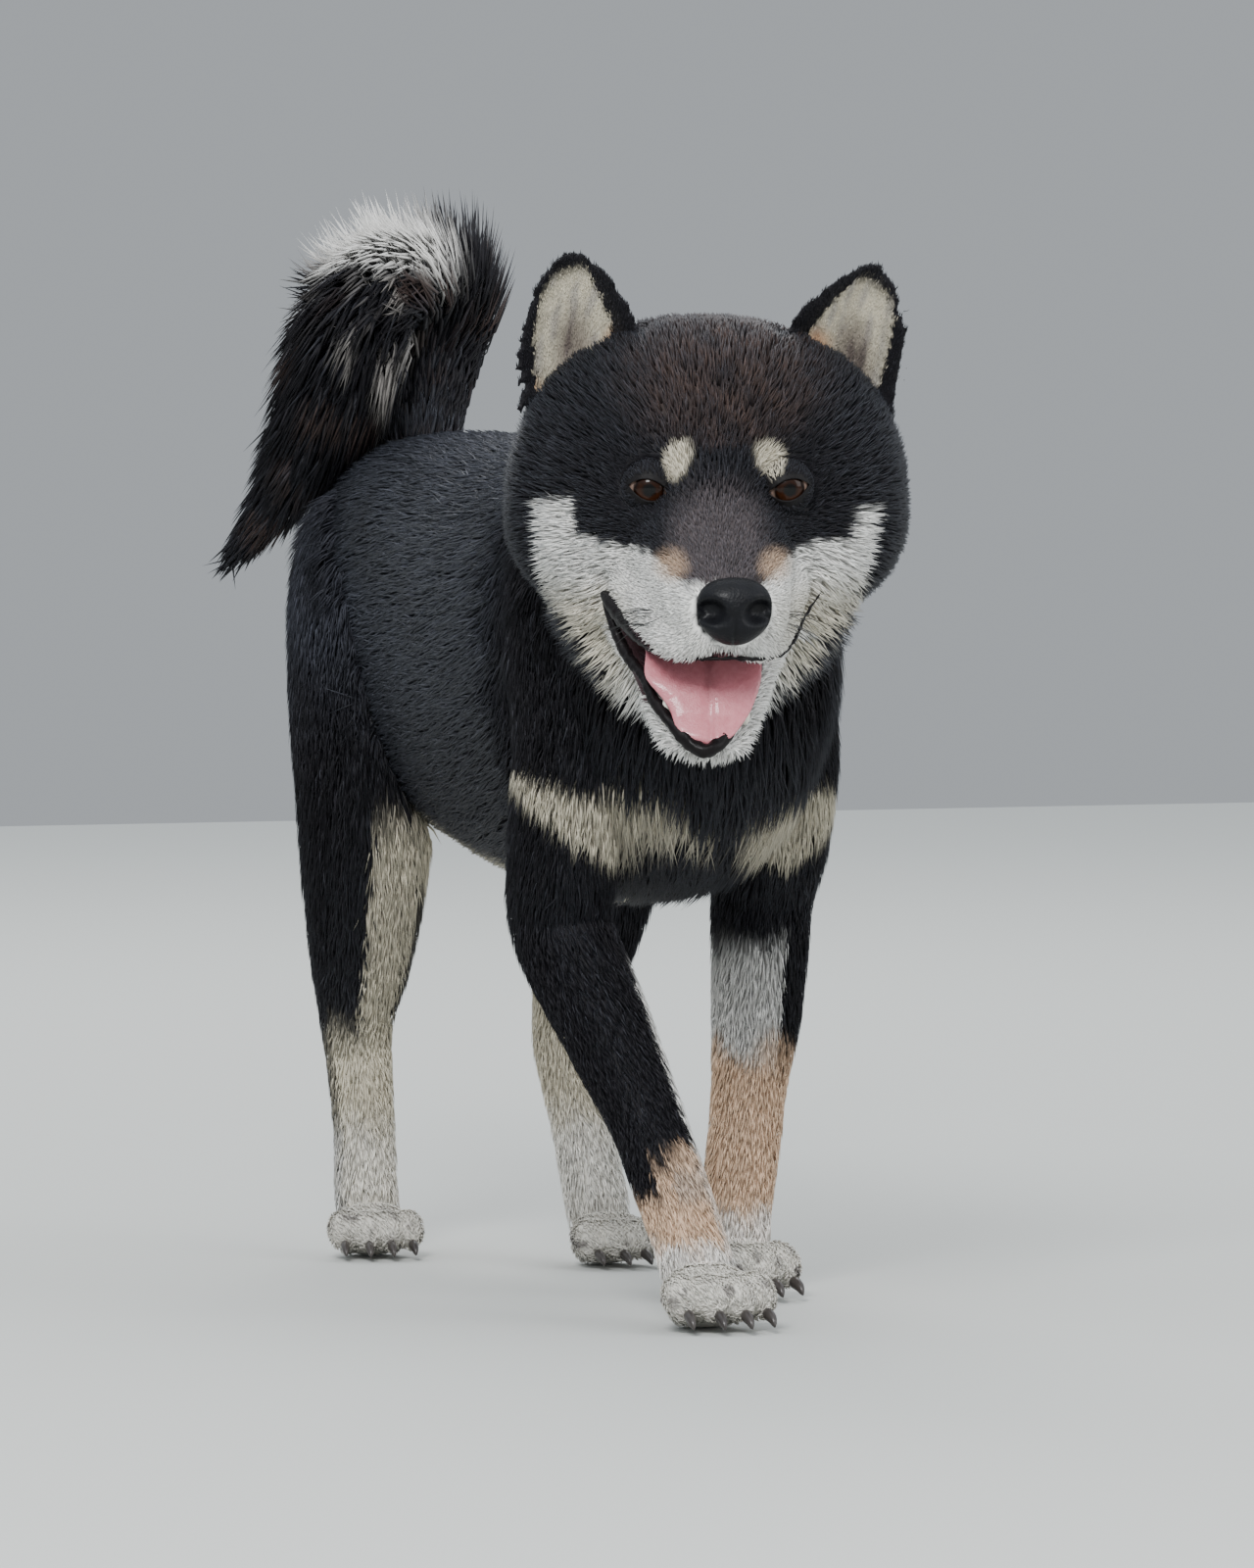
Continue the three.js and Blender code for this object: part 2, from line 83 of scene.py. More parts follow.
# Values along a smooth curve through rows: the uniform Catmull-Rom cubic, with its slope.
def curveAt(rows, t):
    p = np.vstack([2 * rows[0] - rows[1], rows, 2 * rows[-1] - rows[-2]])
    i = np.clip(np.floor(t).astype(int), 0, len(rows) - 2)
    f = (t - i)[:, None]
    a, b, c, d = p[i], p[i + 1], p[i + 2], p[i + 3]
    second = 2 * a - 5 * b + 4 * c - d
    third = 3 * b - a - 3 * c + d
    value = 0.5 * (2 * b + (c - a) * f + second * f**2 + third * f**3)
    slope = 0.5 * ((c - a) + 2 * second * f + 3 * third * f**2)
    return value, slope


# A soft wobble between about -1 and 1: the mean of sines of the place along random directions.
def wobble(points, size, seed):
    local = np.random.default_rng(seed)
    directions = unitRows(local.normal(size=(7, 3)))
    phases = local.uniform(0, 2 * math.pi, 7)
    return np.sin(points @ directions.T * (2 * math.pi / size) + phases).mean(axis=1) * 1.6


# A lofted body: superellipse sections carried along the curve, with quarter-circle caps.
# Sections are rows of x, y, z and the reaches to the right, left, front and back.
def loft(part, sections, look, frameOf=None):
    rows = np.array(sections, float)
    sides = look.get("sides", 32)
    middle = look.get("rings", 40)
    caps = look.get("caps", (0.5, 0.5))
    power = 2 / look.get("fullness", 2.2)
    depth = look.get("depth", 0)
    across = np.array(look.get("across", (-1, 0, 0)), float)
    last = len(rows) - 1
    rows[:, 3:] = np.maximum(rows[:, 3:] - depth, rows[:, 3:] * 0.35)
    quarter = np.linspace(0.12, math.pi / 2, 6)[:-1]
    start = caps[0] * (1 - np.cos(quarter))
    end = last - caps[1] * (1 - np.cos(quarter[::-1]))
    along = np.concatenate([start, np.linspace(caps[0], last - caps[1], middle), end])
    share = np.concatenate([np.sin(quarter), np.ones(middle), np.sin(quarter[::-1])])
    value, slope = curveAt(rows, along)
    tangent = unitRows(slope[:, :3])
    side = unitRows(across - tangent * (tangent @ across)[:, None])
    forward = np.cross(side, tangent)
    angle = np.arange(sides) / sides * 2 * math.pi
    c, s = np.cos(angle), np.sin(angle)
    x = np.sign(c) * np.abs(c) ** power * np.where(c > 0, value[:, 3:4], value[:, 4:5]) * share[:, None]
    y = np.sign(s) * np.abs(s) ** power * np.where(s > 0, value[:, 5:6], value[:, 6:7]) * share[:, None]
    points = value[:, None, :3] + side[:, None] * x[..., None] + forward[:, None] * y[..., None]
    tangents = np.repeat(tangent[:, None], sides, axis=1)
    if frameOf == "head":
        points = fromHead(points)
        tangents = tangents @ headTurn.T
    count = len(along)
    grid = np.arange(count * sides).reshape(count, sides)
    nextColumn = np.roll(grid, -1, axis=1)
    quads = np.stack([grid[:-1], nextColumn[:-1], nextColumn[1:], grid[1:]], axis=-1).reshape(-1, 4)
    faces = quads.tolist() + [grid[0][::-1].tolist(), grid[-1].tolist()]
    return {
        "part": part,
        "points": points.reshape(-1, 3),
        "faces": faces,
        "tangents": tangents.reshape(-1, 3),
        "along": np.repeat(along / last, sides),
        "around": np.tile(angle, count),
    }


# A mesh object in metres from points in millimetres.
def meshObject(name, points, faces):
    mesh = bpy.data.meshes.new(name)
    mesh.from_pydata(((points + centring) * unit).tolist(), [], faces)
    obj = bpy.data.objects.new(name, mesh)
    bpy.context.scene.collection.objects.link(obj)
    return obj


# Faces turned outwards, by the sign of the closed volume that they enclose.
def facingOut(points, faces):
    volume = 0.0
    middle = points.mean(axis=0)
    for face in faces:
        a, b, c = points[face[0]], points[face[1]], points[face[2]]
        volume += float(np.dot(a - middle, np.cross(b - a, c - a)))
    return faces if volume > 0 else [face[::-1] for face in faces]


# Several surfaces in one list of points and faces.
def joined(surfaces):
    points, faces, shift = [], [], 0
    for surface in surfaces:
        points.append(surface["points"])
        turned = facingOut(surface["points"], surface["faces"])
        faces += [[i + shift for i in face] for face in turned]
        shift += len(surface["points"])
    return np.vstack(points), faces


# The object's mesh with its modifiers worked in.
def settled(obj):
    graph = bpy.context.evaluated_depsgraph_get()
    mesh = bpy.data.meshes.new_from_object(obj.evaluated_get(graph))
    old = obj.data
    obj.modifiers.clear()
    obj.data = mesh
    bpy.data.meshes.remove(old)
    return obj


# The object's surface again in even voxels: the zero level of its distance field.
def remeshed(obj, voxel):
    mod = obj.modifiers.new("voxels", "REMESH")
    mod.mode = "VOXEL"
    mod.voxel_size = voxel * unit
    return settled(obj)


# The object less the cutter, which is removed afterwards.
def cutBy(obj, cutter):
    mod = obj.modifiers.new("cut", "BOOLEAN")
    mod.operation = "DIFFERENCE"
    mod.solver = "EXACT"
    mod.object = cutter
    settled(obj)
    bpy.data.objects.remove(cutter)
    return obj


# Trunk and neck, from the rump to inside the head
trunkSections = np.array((
    (0, 214, 325, 40, 40, 38, 52),
    (0, 185, 318, 56, 56, 64, 84),
    (0, 140, 315, 64, 64, 72, 107),
    (0, 90, 316, 67, 67, 73, 121),
    (0, 35, 308, 71, 71, 81, 122),
    (-1, -25, 298, 75, 75, 91, 120),
    (-2, -85, 293, 76, 76, 99, 118),
    (-3, -135, 296, 74, 74, 104, 117),
    (-5, -178, 312, 70, 70, 100, 108),
    (-11, -208, 335, 67, 67, 80, 82),
    (-22, -238, 362, 64, 64, 62, 66),
    (-33, -268, 380, 52, 52, 46, 50),
), float)

foreGirth = (
    (20, 20, 24), (25, 36, 38), (27, 38, 42), (26, 32, 38), (24, 27, 31),
    (22, 22.5, 22), (18.5, 18, 18.5), (17.5, 17, 18), (17, 15, 16), (18, 16, 16),
)
hindGirth = (
    (22, 28, 26), (30, 44, 42), (34, 46, 48), (33, 38, 45), (30, 32, 38), (25, 24, 28),
    (19, 17, 21), (16.5, 15, 17), (15, 14, 14), (15, 14, 15), (15, 14, 15),
)
limbs = {
    "foreRight": {
        "girth": foreGirth, "share": 1, "paw": (-37, -292), "turn": -3, "side": -1,
        "path": ((-48, -118, 350), (-53, -148, 305), (-55, -170, 255), (-58, -170, 205), (-57, -166, 170),
                 (-48, -198, 124), (-41, -224, 90), (-38, -240, 68), (-35, -264, 36), (-35, -277, 20)),
    },
    "foreLeft": {
        "girth": foreGirth, "share": 1, "paw": (30, -151), "turn": 2, "side": 1,
        "path": ((43, -118, 350), (47, -142, 305), (50, -158, 255), (53, -145, 212), (54, -128, 180),
                 (51, -127, 128), (47, -128, 94), (44, -130, 72), (37, -137, 38), (33, -143, 20)),
    },
    "hindRight": {
        "girth": hindGirth, "share": 0.88, "paw": (-48, 112), "turn": -12, "side": -1,
        "path": ((-38, 165, 355), (-44, 150, 315), (-48, 128, 265), (-52, 108, 222), (-51, 112, 180),
                 (-48, 126, 140), (-45, 140, 112), (-42, 146, 92), (-42, 140, 60), (-44, 131, 32),
                 (-46, 122, 20)),
    },
    "hindLeft": {
        "girth": hindGirth, "share": 0.88, "paw": (38, 28), "turn": 4, "side": 1,
        "path": ((38, 165, 355), (44, 140, 312), (49, 108, 265), (53, 78, 226), (52, 76, 186),
                 (47, 82, 146), (43, 88, 118), (41, 88, 98), (40, 68, 64), (39, 48, 34), (38, 38, 20)),
    },
}
limbDepth = np.array((7, 7, 7, 6, 5, 4, 3.2, 2.8, 2.4, 2.2, 2.2))
toeReach = (-2, 4, 4, -2)
toeSpread = 11.5


# A paw point's place: scaled by the paw's share, turned about Z and moved to where it stands.
def onFloor(points, leg):
    turn = math.radians(leg["turn"])
    c, s = math.cos(turn), math.sin(turn)
    about = np.array(((c, -s, 0), (s, c, 0), (0, 0, 1)))
    return points * leg["share"] @ about.T + np.array((*leg["paw"], 0.0))


# Pad and toes of a paw, as lofts in the paw's own frame.
def pawSurfaces(leg):
    pad = ((0, 19, 17, 14, 14, 11, 18), (0, 4, 16, 20, 20, 14, 19), (0, -10, 15, 22, 22, 13, 18))
    surfaces = [loft("paw", pad, {"sides": 20, "rings": 8, "caps": (0.7, 0.7), "depth": 1.6})]
    for i, r in enumerate(toeReach):
        x = (i - 1.5) * toeSpread
        toe = (
            (0.8 * x, 0, 15, 8, 8, 9, 9), (x, -15 - r, 16, 8.6, 8.6, 10, 10),
            (1.04 * x, -26 - r, 8, 7.2, 7.2, 7.5, 10),
        )
        surfaces.append(loft("paw", toe, {"sides": 14, "rings": 8, "caps": (0.6, 0.7), "depth": 1.1}))
    for surface in surfaces:
        surface["points"] = onFloor(surface["points"], leg)
        surface["points"][:, 2] = np.maximum(surface["points"][:, 2], 0.6)
        surface["tangents"] = unitRows(np.array((0, -1, -0.25))) * np.ones_like(surface["points"])
    return surfaces


# A leg: its girths less the coat's depth carried along its path, with its paw.
def limbSurfaces(name, leg):
    girth = np.array(leg["girth"], float)[:, (0, 0, 1, 2)]
    sections = np.hstack([np.array(leg["path"], float), girth - limbDepth[: len(girth), None]])
    surface = loft(name, sections, {"sides": 24, "rings": 50, "fullness": 2.15})
    surface["points"][:, 2] = np.maximum(surface["points"][:, 2], 0.6)
    return [surface] + pawSurfaces(leg)


# Head, in its own frame: skull, muzzle, cheeks and jaw
headSections = {
    "skull": (
        (2, 60, -15, 70, 72, 72, 60), (2, 35, -20, 84, 88, 85, 60), (2, 10, -20, 87, 93, 88, 56),
        (2, -10, -20, 81, 88, 88, 54), (1, -28, -20, 69, 74, 80, 48), (0, -42, -20, 54, 57, 64, 42),
        (0, -55, -20, 42, 42, 38, 38), (0, -64, -20, 34, 34, 24, 34),
    ),
    "muzzle": (
        (0, -40, -26, 40, 40, 26, 30), (0.5, -60, -31, 36, 36, 30, 27),
        (1.5, -80, -37, 32.5, 32.5, 25, 22), (2.5, -100, -41, 29.5, 29.5, 21, 21),
        (3.5, -115, -44, 26, 26, 18, 20), (4, -127, -46, 19, 19, 14, 16),
    ),
    "jowls": (
        (1, 50, -30, 52, 54, 40, 50), (0, 20, -36, 70, 75, 44, 66), (-1, -10, -40, 70, 76, 42, 68),
        (-2, -32, -42, 58, 63, 36, 62), (-3, -48, -46, 44, 48, 18, 46),
    ),
    "jaw": (
        (-1, -15, -58, 44, 44, 16, 22), (-2, -40, -66, 40, 40, 12, 19), (-3, -60, -78, 33, 33, 10, 16),
        (-4, -80, -90, 27, 27, 9, 13), (-5.5, -98, -101, 21.5, 21.5, 6, 9),
        (-6.5, -108, -106.5, 16, 16, 4.5, 6),
    ),
}
headLooks = {
    "skull": {"sides": 56, "rings": 46, "fullness": 2.3, "depth": 5},
    "muzzle": {"sides": 36, "rings": 34, "fullness": 2.5, "depth": 2},
    "jowls": {"sides": 44, "rings": 30, "fullness": 2.1, "depth": 9},
    "jaw": {"sides": 28, "rings": 26, "fullness": 2.4, "depth": 2},
}
upperLip = ((-46, -48, -46), (-37, -66, -54), (-30, -88, -61), (-20, -110, -64), (2, -124, -62))
lowerLip = ((-46, -48, -48), (-38, -65, -68), (-31, -82, -77), (-24.5, -99, -89), (-6.5, -115, -104))
mouthOutline = (
    (-46, -46), (-60, -57), (-85, -62), (-142, -62), (-142, -104), (-115, -104), (-99, -90), (-82, -78),
    (-65, -68),
)

# Eyes: half their distance, the shift of both to the dog's left, their size and how far they look outwards
eyeAt = {
    "x": 29.5, "shift": 3.5, "y": -49.8, "z": 0.7, "radius": 10.8, "outward": 7, "width": 9.3, "lid": 11.9,
    "socket": 11.6,
}

# Nose leather: its middle and half sizes, and the depths of the nostrils, the slits and the groove
noseLook = {"centre": (4, -127, -41), "half": (17.4, 11.5, 14.6), "pit": 8.0, "slit": 3.2, "groove": 1.6}


# A whole line from the mouth's right corner to its left one, mirrored about its front point.
def wholeLip(half):
    front = half[-1]
    left = [(2 * front[0] - x, y, z) for x, y, z in half[:-1]][::-1]
    return list(half) + left


# The upper lip's flap: a tube along the lip's line, drawn in to 0.86 of its width and 6 mm higher.
def flewSurface():
    inside = [(x * 0.86, y + 1, z + 6) for x, y, z in upperLip[:-1]] + [(0, -118, -52)]
    line = wholeLip(inside)
    sections = [(x, y, z, r, r, r, r) for (x, y, z), r in zip(line, (6.5, 8, 8, 8, 8, 8, 8, 8, 6.5))]
    return loft("muzzle", sections, {"sides": 16, "rings": 40, "across": (0, 0, 1)}, "head")


# The wedge of air between the jaws, as a prism across the head.
def mouthWedge():
    outline = np.array(mouthOutline, float)
    n = len(outline)
    near = np.column_stack([np.full(n, -60.0), outline])
    far = np.column_stack([np.full(n, 60.0), outline])
    faces = [list(range(n)), list(range(2 * n - 1, n - 1, -1))]
    faces += [[i, i + n, (i + 1) % n + n, (i + 1) % n] for i in range(n)]
    points = np.vstack([near, far])
    return meshObject("mouthWedge", fromHead(points), facingOut(points, faces))


# A ball from rows of latitude and columns of longitude, with one point at each pole.
def ballGrid(rows, columns):
    latitude = np.linspace(0, math.pi, rows + 1)[1:-1]
    longitude = np.arange(columns) / columns * 2 * math.pi
    ring = np.stack([
        np.outer(np.sin(latitude), np.cos(longitude)),
        np.outer(np.sin(latitude), np.sin(longitude)),
        np.repeat(np.cos(latitude)[:, None], columns, axis=1),
    ], axis=-1).reshape(-1, 3)
    points = np.vstack([ring, (0, 0, 1), (0, 0, -1)])
    grid = np.arange(len(ring)).reshape(rows - 1, columns)
    turned = np.roll(grid, -1, axis=1)
    faces = np.stack([grid[:-1], grid[1:], turned[1:], turned[:-1]], axis=-1).reshape(-1, 4).tolist()
    top, bottom = len(ring), len(ring) + 1
    faces += [[top, int(a), int(b)] for a, b in zip(grid[0], turned[0])]
    faces += [[bottom, int(b), int(a)] for a, b in zip(grid[-1], turned[-1])]
    return points, faces


# An eye's middle: half the eyes' distance to its side, moved by the shift of both.
def eyeCentre(side):
    return np.array((side * eyeAt["x"] + eyeAt["shift"], eyeAt["y"], eyeAt["z"]))


# The eye's own axes: out to the side, up, and the way it looks, turned outwards about Z.
def eyeAxes(side):
    turn = math.radians(eyeAt["outward"])
    gaze = np.array((side * math.sin(turn), -math.cos(turn), 0))
    out = np.array((side * math.cos(turn), math.sin(turn), 0))
    return out, np.array((0.0, 0.0, 1.0)), gaze


# Ears: between an inner and an outer edge that run up to a tip, cupped backwards
ears = {
    "earRight": {
        "inner": ((-24, 6, 48), (-28, 6, 67), (-37, 3, 82), (-48, 0, 94), (-59.5, 0, 99)),
        "outer": ((-76, 24, 8), (-81, 21, 32), (-80, 16, 56), (-73, 7, 83), (-59.5, 0, 99)),
    },
    "earLeft": {
        "inner": ((28, 6, 45), (36, 6, 63), (49, 3, 78), (64, 0, 89), (77, 0, 94)),
        "outer": ((83, 24, 4), (89, 21, 26), (92, 15, 50), (88, 7, 77), (77, 0, 94)),
    },
}
earLook = {"cup": 17, "thickness": 4.6, "rows": 34, "columns": 24, "forward": 12, "backMark": 10}


# An ear's leaf: the two edges joined across, pushed back by the cup, with a front and a back face.
def earSurface(name):
    ear = ears[name]
    inner, outer = np.array(ear["inner"], float), np.array(ear["outer"], float)
    inner[:, 1] -= earLook["forward"]
    outer[:, 1] -= earLook["forward"]
    height = np.linspace(0, 1, earLook["rows"])
    u = np.linspace(-1, 1, earLook["columns"])
    a = curveAt(inner, height * 4)[0]
    b = curveAt(outer, height * 4)[0]
    wide, tall = outer[0] - inner[0], inner[-1] - inner[0]
    back = np.cross(tall, wide)
    back = back / np.linalg.norm(back) * np.sign(back[1])
    share = (u[None, :, None] + 1) / 2
    middle = a[:, None] * (1 - share) + b[:, None] * share
    bulge = (1 - u[None] ** 2) * earLook["cup"] * np.maximum(1 - height, 0)[:, None] ** 0.6
    rounding = np.sqrt(np.maximum(1 - u[None] ** 2, 0)) * np.sqrt(np.maximum(1 - height**4, 0.0))[:, None]
    half = earLook["thickness"] / 2 * (0.25 + 0.75 * rounding)
    front = middle + back * (bulge - half)[..., None]
    rear = middle + back * (bulge + half)[..., None]
    rows, columns = earLook["rows"], earLook["columns"]
    grid = np.arange(rows * columns).reshape(rows, columns)
    other = grid + rows * columns
    front4 = np.stack([grid[:-1, :-1], grid[:-1, 1:], grid[1:, 1:], grid[1:, :-1]], -1)
    rear4 = np.stack([other[:-1, :-1], other[1:, :-1], other[1:, 1:], other[:-1, 1:]], -1)
    faces = front4.reshape(-1, 4).tolist() + rear4.reshape(-1, 4).tolist()
    for i in range(rows - 1):
        faces.append([int(grid[i, 0]), int(grid[i + 1, 0]), int(other[i + 1, 0]), int(other[i, 0])])
        faces.append([int(grid[i, -1]), int(other[i, -1]), int(other[i + 1, -1]), int(grid[i + 1, -1])])
    for j in range(columns - 1):
        faces.append([int(grid[0, j]), int(other[0, j]), int(other[0, j + 1]), int(grid[0, j + 1])])
        faces.append([int(grid[-1, j]), int(grid[-1, j + 1]), int(other[-1, j + 1]), int(other[-1, j])])
    points = np.vstack([front.reshape(-1, 3), rear.reshape(-1, 3)])
    tip = unitRows(inner[-1] - (inner[0] + outer[0]) / 2)
    return {
        "part": name,
        "points": fromHead(points),
        "faces": faces,
        "tangents": np.tile(tip @ headTurn.T, (len(points), 1)),
        "along": np.tile(np.repeat(height, columns), 2),
        "around": np.concatenate([np.tile(u, rows), np.tile(u, rows) + earLook["backMark"]]),
    }


# Tail: its core, and how far the coat stands off its path
tailPath = np.array((
    (2, 192, 358, 20, 21), (10, 210, 384, 19, 24), (16, 220, 408, 17, 35), (18, 220, 430, 17, 40),
    (10, 213, 446, 17, 42), (-6, 202, 452, 16, 38), (-21, 192, 441, 15, 34), (-33, 186, 418, 14, 31),
    (-45, 185, 392, 11, 25), (-59, 191, 364, 8, 16), (-72, 199, 342, 5.5, 10), (-84, 205, 325, 3, 5),
), float)


# The tail's core: round sections of the path's first radius.
def tailSurface():
    sections = np.hstack([tailPath[:, :3], np.repeat(tailPath[:, 3:4], 4, axis=1)])
    return loft("tail", sections, {"sides": 24, "rings": 60, "fullness": 2, "across": (-0.5, -0.8, 0.2)})


# Skin: the voxels of the head and of the whole, how often it is smoothed, and how deep it lies in the coat
skinLook = {"headVoxel": 2.0, "voxel": 2.5, "smoothing": 5, "depth": 9, "chestDepth": 4}


# The one skin over all flesh: lofts joined by voxels, with the mouth and eye sockets cut in the head.
def makeSkin():
    trunk = trunkSections.copy()
    depth = skinLook["depth"] + skinLook["chestDepth"] * smoothStep(-120, -200, trunk[:, 1])
    trunk[:, 3:] -= depth[:, None]
    surfaces = [loft("trunk", trunk, {"sides": 56, "rings": 80, "fullness": 2.35})]
    for name, leg in limbs.items():
        surfaces += limbSurfaces(name, leg)
    head = [loft(name, headSections[name], headLooks[name], "head") for name in ("skull", "muzzle", "jowls")]
    rest = [loft("jaw", headSections["jaw"], headLooks["jaw"], "head"), flewSurface()]
    rest += [earSurface("earRight"), earSurface("earLeft"), tailSurface()]
    solid = remeshed(meshObject("headSolid", *joined(head)), skinLook["headVoxel"])
    cutBy(solid, mouthWedge())
    for side in (-1, 1):
        points, faces = ballGrid(16, 24)
        ball = fromHead(points * eyeAt["socket"] + eyeCentre(side))
        cutBy(solid, meshObject("socket", ball, facingOut(points, faces)))
    body = meshObject("skin", *joined(surfaces + rest))
    both = [body, solid]
    with bpy.context.temp_override(active_object=body, selected_editable_objects=both, selected_objects=both):
        bpy.ops.object.join()
    remeshed(body, skinLook["voxel"])
    mod = body.modifiers.new("smooth", "SMOOTH")
    mod.factor = 0.5
    mod.iterations = skinLook["smoothing"]
    settled(body)
    return body, surfaces + head + rest


skin, guides = makeSkin()
print("skin:", len(skin.data.polygons), "faces")


# Points, normals and triangles of a mesh in millimetres of the body.
def meshArrays(obj):
    mesh = obj.data
    count = len(mesh.vertices)
    points = np.empty(count * 3, np.float32)
    normals = np.empty(count * 3, np.float32)
    mesh.vertices.foreach_get("co", points)
    mesh.vertex_normals.foreach_get("vector", normals)
    mesh.calc_loop_triangles()
    triangles = np.empty(len(mesh.loop_triangles) * 3, np.int32)
    mesh.loop_triangles.foreach_get("vertices", triangles)
    points = points.reshape(-1, 3).astype(float) / unit - centring
    return points, normals.reshape(-1, 3).astype(float), triangles.reshape(-1, 3)


# For each point the nearest guide's index: the least of squares less twice the products, in blocks.
def nearest(points, targets):
    found = np.empty(len(points), int)
    squares = (targets**2).sum(axis=1)
    for start in range(0, len(points), 4000):
        block = points[start:start + 4000]
        found[start:start + 4000] = (squares - 2 * block @ targets.T).argmin(axis=1)
    return found


# Values spread over the mesh: each vertex becomes the mean of itself and its neighbours, many times.
def spread(values, edges, rounds):
    count = len(values)
    degree = np.bincount(edges.ravel(), minlength=count)[:, None] + 1
    for _ in range(rounds):
        total = values.copy()
        for axis in range(values.shape[1]):
            total[:, axis] += np.bincount(edges[:, 0], values[edges[:, 1], axis], count)
            total[:, axis] += np.bincount(edges[:, 1], values[edges[:, 0], axis], count)
        values = total / degree
    return values


headParts = ["skull", "muzzle", "jowls", "jaw"]
earParts = ["earRight", "earLeft"]
partNames = ["trunk", *limbs, "paw", *headParts, *earParts, "tail"]
partIndex = {name: i for i, name in enumerate(partNames)}


# Which points belong to the named parts.
def isPart(part, names):
    return np.isin(part, [partIndex[name] for name in names])


# Coat of each part: tuft spacing, length and width, and how high its tips stand over the skin
coatLook = {
    "trunk": (2.0, 25, 1.35, 6.2),
    "foreRight": (1.6, 10.5, 0.95, 2.3),
    "foreLeft": (1.6, 10.5, 0.95, 2.3),
    "hindRight": (1.75, 11.5, 1.0, 2.5),
    "hindLeft": (1.75, 11.5, 1.0, 2.5),
    "paw": (1.25, 5, 0.8, 1.4),
    "skull": (1.4, 9.5, 0.9, 4.0),
    "muzzle": (1.05, 5, 0.65, 1.5),
    "jowls": (1.5, 16, 0.95, 6.0),
    "jaw": (1.15, 7, 0.8, 2.2),
    "earRight": (1.1, 3.0, 0.5, 0.45),
    "earLeft": (1.1, 3.0, 0.5, 0.45),
    "tail": (2.0, 46, 2.3, 20.0),
}


# What the skin knows at each vertex, from the nearest guide: its part, place on it, and the coat's lie.
def skinData(obj, guides):
    points, normals, triangles = meshArrays(obj)
    targets = np.vstack([g["points"] for g in guides])
    part = np.concatenate([np.full(len(g["points"]), partIndex[g["part"]]) for g in guides])
    tangent = np.vstack([g["tangents"] for g in guides])
    along = np.concatenate([g["along"] for g in guides])
    around = np.concatenate([g["around"] for g in guides])
    keep = np.arange(0, len(targets), 2)
    near = keep[nearest(points.astype(np.float32), targets[keep].astype(np.float32))]
    data = {
        "points": points, "normals": normals, "triangles": triangles,
        "part": part[near], "along": along[near], "around": around[near],
    }
    flow = coatFlow(points, normals, part[near], tangent[near])
    size = np.array([coatLook[name][1:] for name in partNames], float)[part[near]]
    size = lengthsHere(points, part[near], size)
    mesh = obj.data
    edges = np.empty(len(mesh.edges) * 2, np.int32)
    mesh.edges.foreach_get("vertices", edges)
    edges = edges.reshape(-1, 2)
    data["edges"] = edges
    data["flow"] = spread(flow, edges, 8)
    data["size"] = spread(size, edges, 6)
    return data


# The coat's lie: along the trunk to the tail and down, down the limbs, and away from the nose on the head.
def coatFlow(points, normals, part, tangent):
    down = np.array((0, 0, -1.0))
    flow = tangent.copy()
    trunk = part == partIndex["trunk"]
    droop = 0.3 + 1.3 * smoothStep(-120, -215, points[:, 1]) * (normals[:, 1] < 0.4)
    flow[trunk] = -tangent[trunk] + down * droop[trunk, None]
    head = isPart(part, headParts)
    local = toHead(points)
    away = unitRows(local - np.array((0, -150.0, -34)))
    sideways = np.abs(local[:, 0]) / 70
    away[:, 2] -= 0.35 * sideways * (local[:, 2] < -10)
    away[:, 1] += 0.5
    flow[head] = unitRows(away[head]) @ headTurn.T
    return unitRows(flow)


# Local lengths, widths and heights: longer on the neck, thigh backs and cheek edges, shorter round the eyes.
def lengthsHere(points, part, size):
    size = size.copy()
    trunk = part == partIndex["trunk"]
    neck = smoothStep(-110, -215, points[:, 1]) * trunk
    size[:, 0] *= 1 + 0.45 * neck
    size[:, 2] *= 1 + 0.5 * neck
    local = toHead(points)
    cheek = (part == partIndex["jowls"]) | (part == partIndex["skull"])
    edge = smoothStep(45, 75, np.hypot(local[:, 0], np.minimum(local[:, 2] + 20, 0))) * cheek
    size[:, 0] *= 1 + 0.5 * edge
    for side in (-1, 1):
        away = np.linalg.norm(local - eyeCentre(side), axis=1)
        near = 1 - smoothStep(12, 30, away)
        size *= (1 - near * 0.5)[:, None]
    for name, factor in zip(limbs, (0.9, 0.9, 1.0, 1.0)):
        limb = part == partIndex[name]
        high = smoothStep(90, 230, points[:, 2]) * limb
        size[:, 0] *= 1 + 0.6 * high * factor
        size[:, 2] *= 1 + 1.0 * high * factor
    tail = part == partIndex["tail"]
    t = nearest(points.astype(np.float32), tailFine[:, :3].astype(np.float32))
    stand = tailFine[t, 4] - tailFine[t, 3]
    size[:, 2] = np.where(tail, stand, size[:, 2])
    size[:, 0] = np.where(tail, 14 + stand * 1.45, size[:, 0])
    crest = smoothStep(440, 470, points[:, 2]) * tail
    size[:, 2] *= 1 - 0.45 * crest
    size[:, 0] *= 1 - 0.6 * crest
    return size


tailFine = curveAt(tailPath, np.linspace(0, len(tailPath) - 1, 200))[0]

# Colours of the coat and skin, among them painted sheen for the back and the bridge and painted shade for the
# ears' openings
tint = {
    "black": (0.009, 0.0083, 0.0105),
    # the blue-grey is painted sheen, where the black coat's upper side catches the sky
    "paintedSheen": (0.034, 0.036, 0.047),
    "brown": (0.060, 0.037, 0.029),
    # this grey is painted sheen on the face's bridge, and the paws' own grey marks
    "sheenAndGreyMarks": (0.085, 0.070, 0.072),
    "white": (0.80, 0.79, 0.76),
    "cream": (0.60, 0.55, 0.43),
    "tan": (0.64, 0.45, 0.31),
    "orange": (0.52, 0.27, 0.12),
    "grey": (0.33, 0.31, 0.29),
    # painted shade for the hollow of the ears' openings
    "earholeShade": (0.12, 0.095, 0.085),
    "mouth": (0.05, 0.018, 0.022),
}

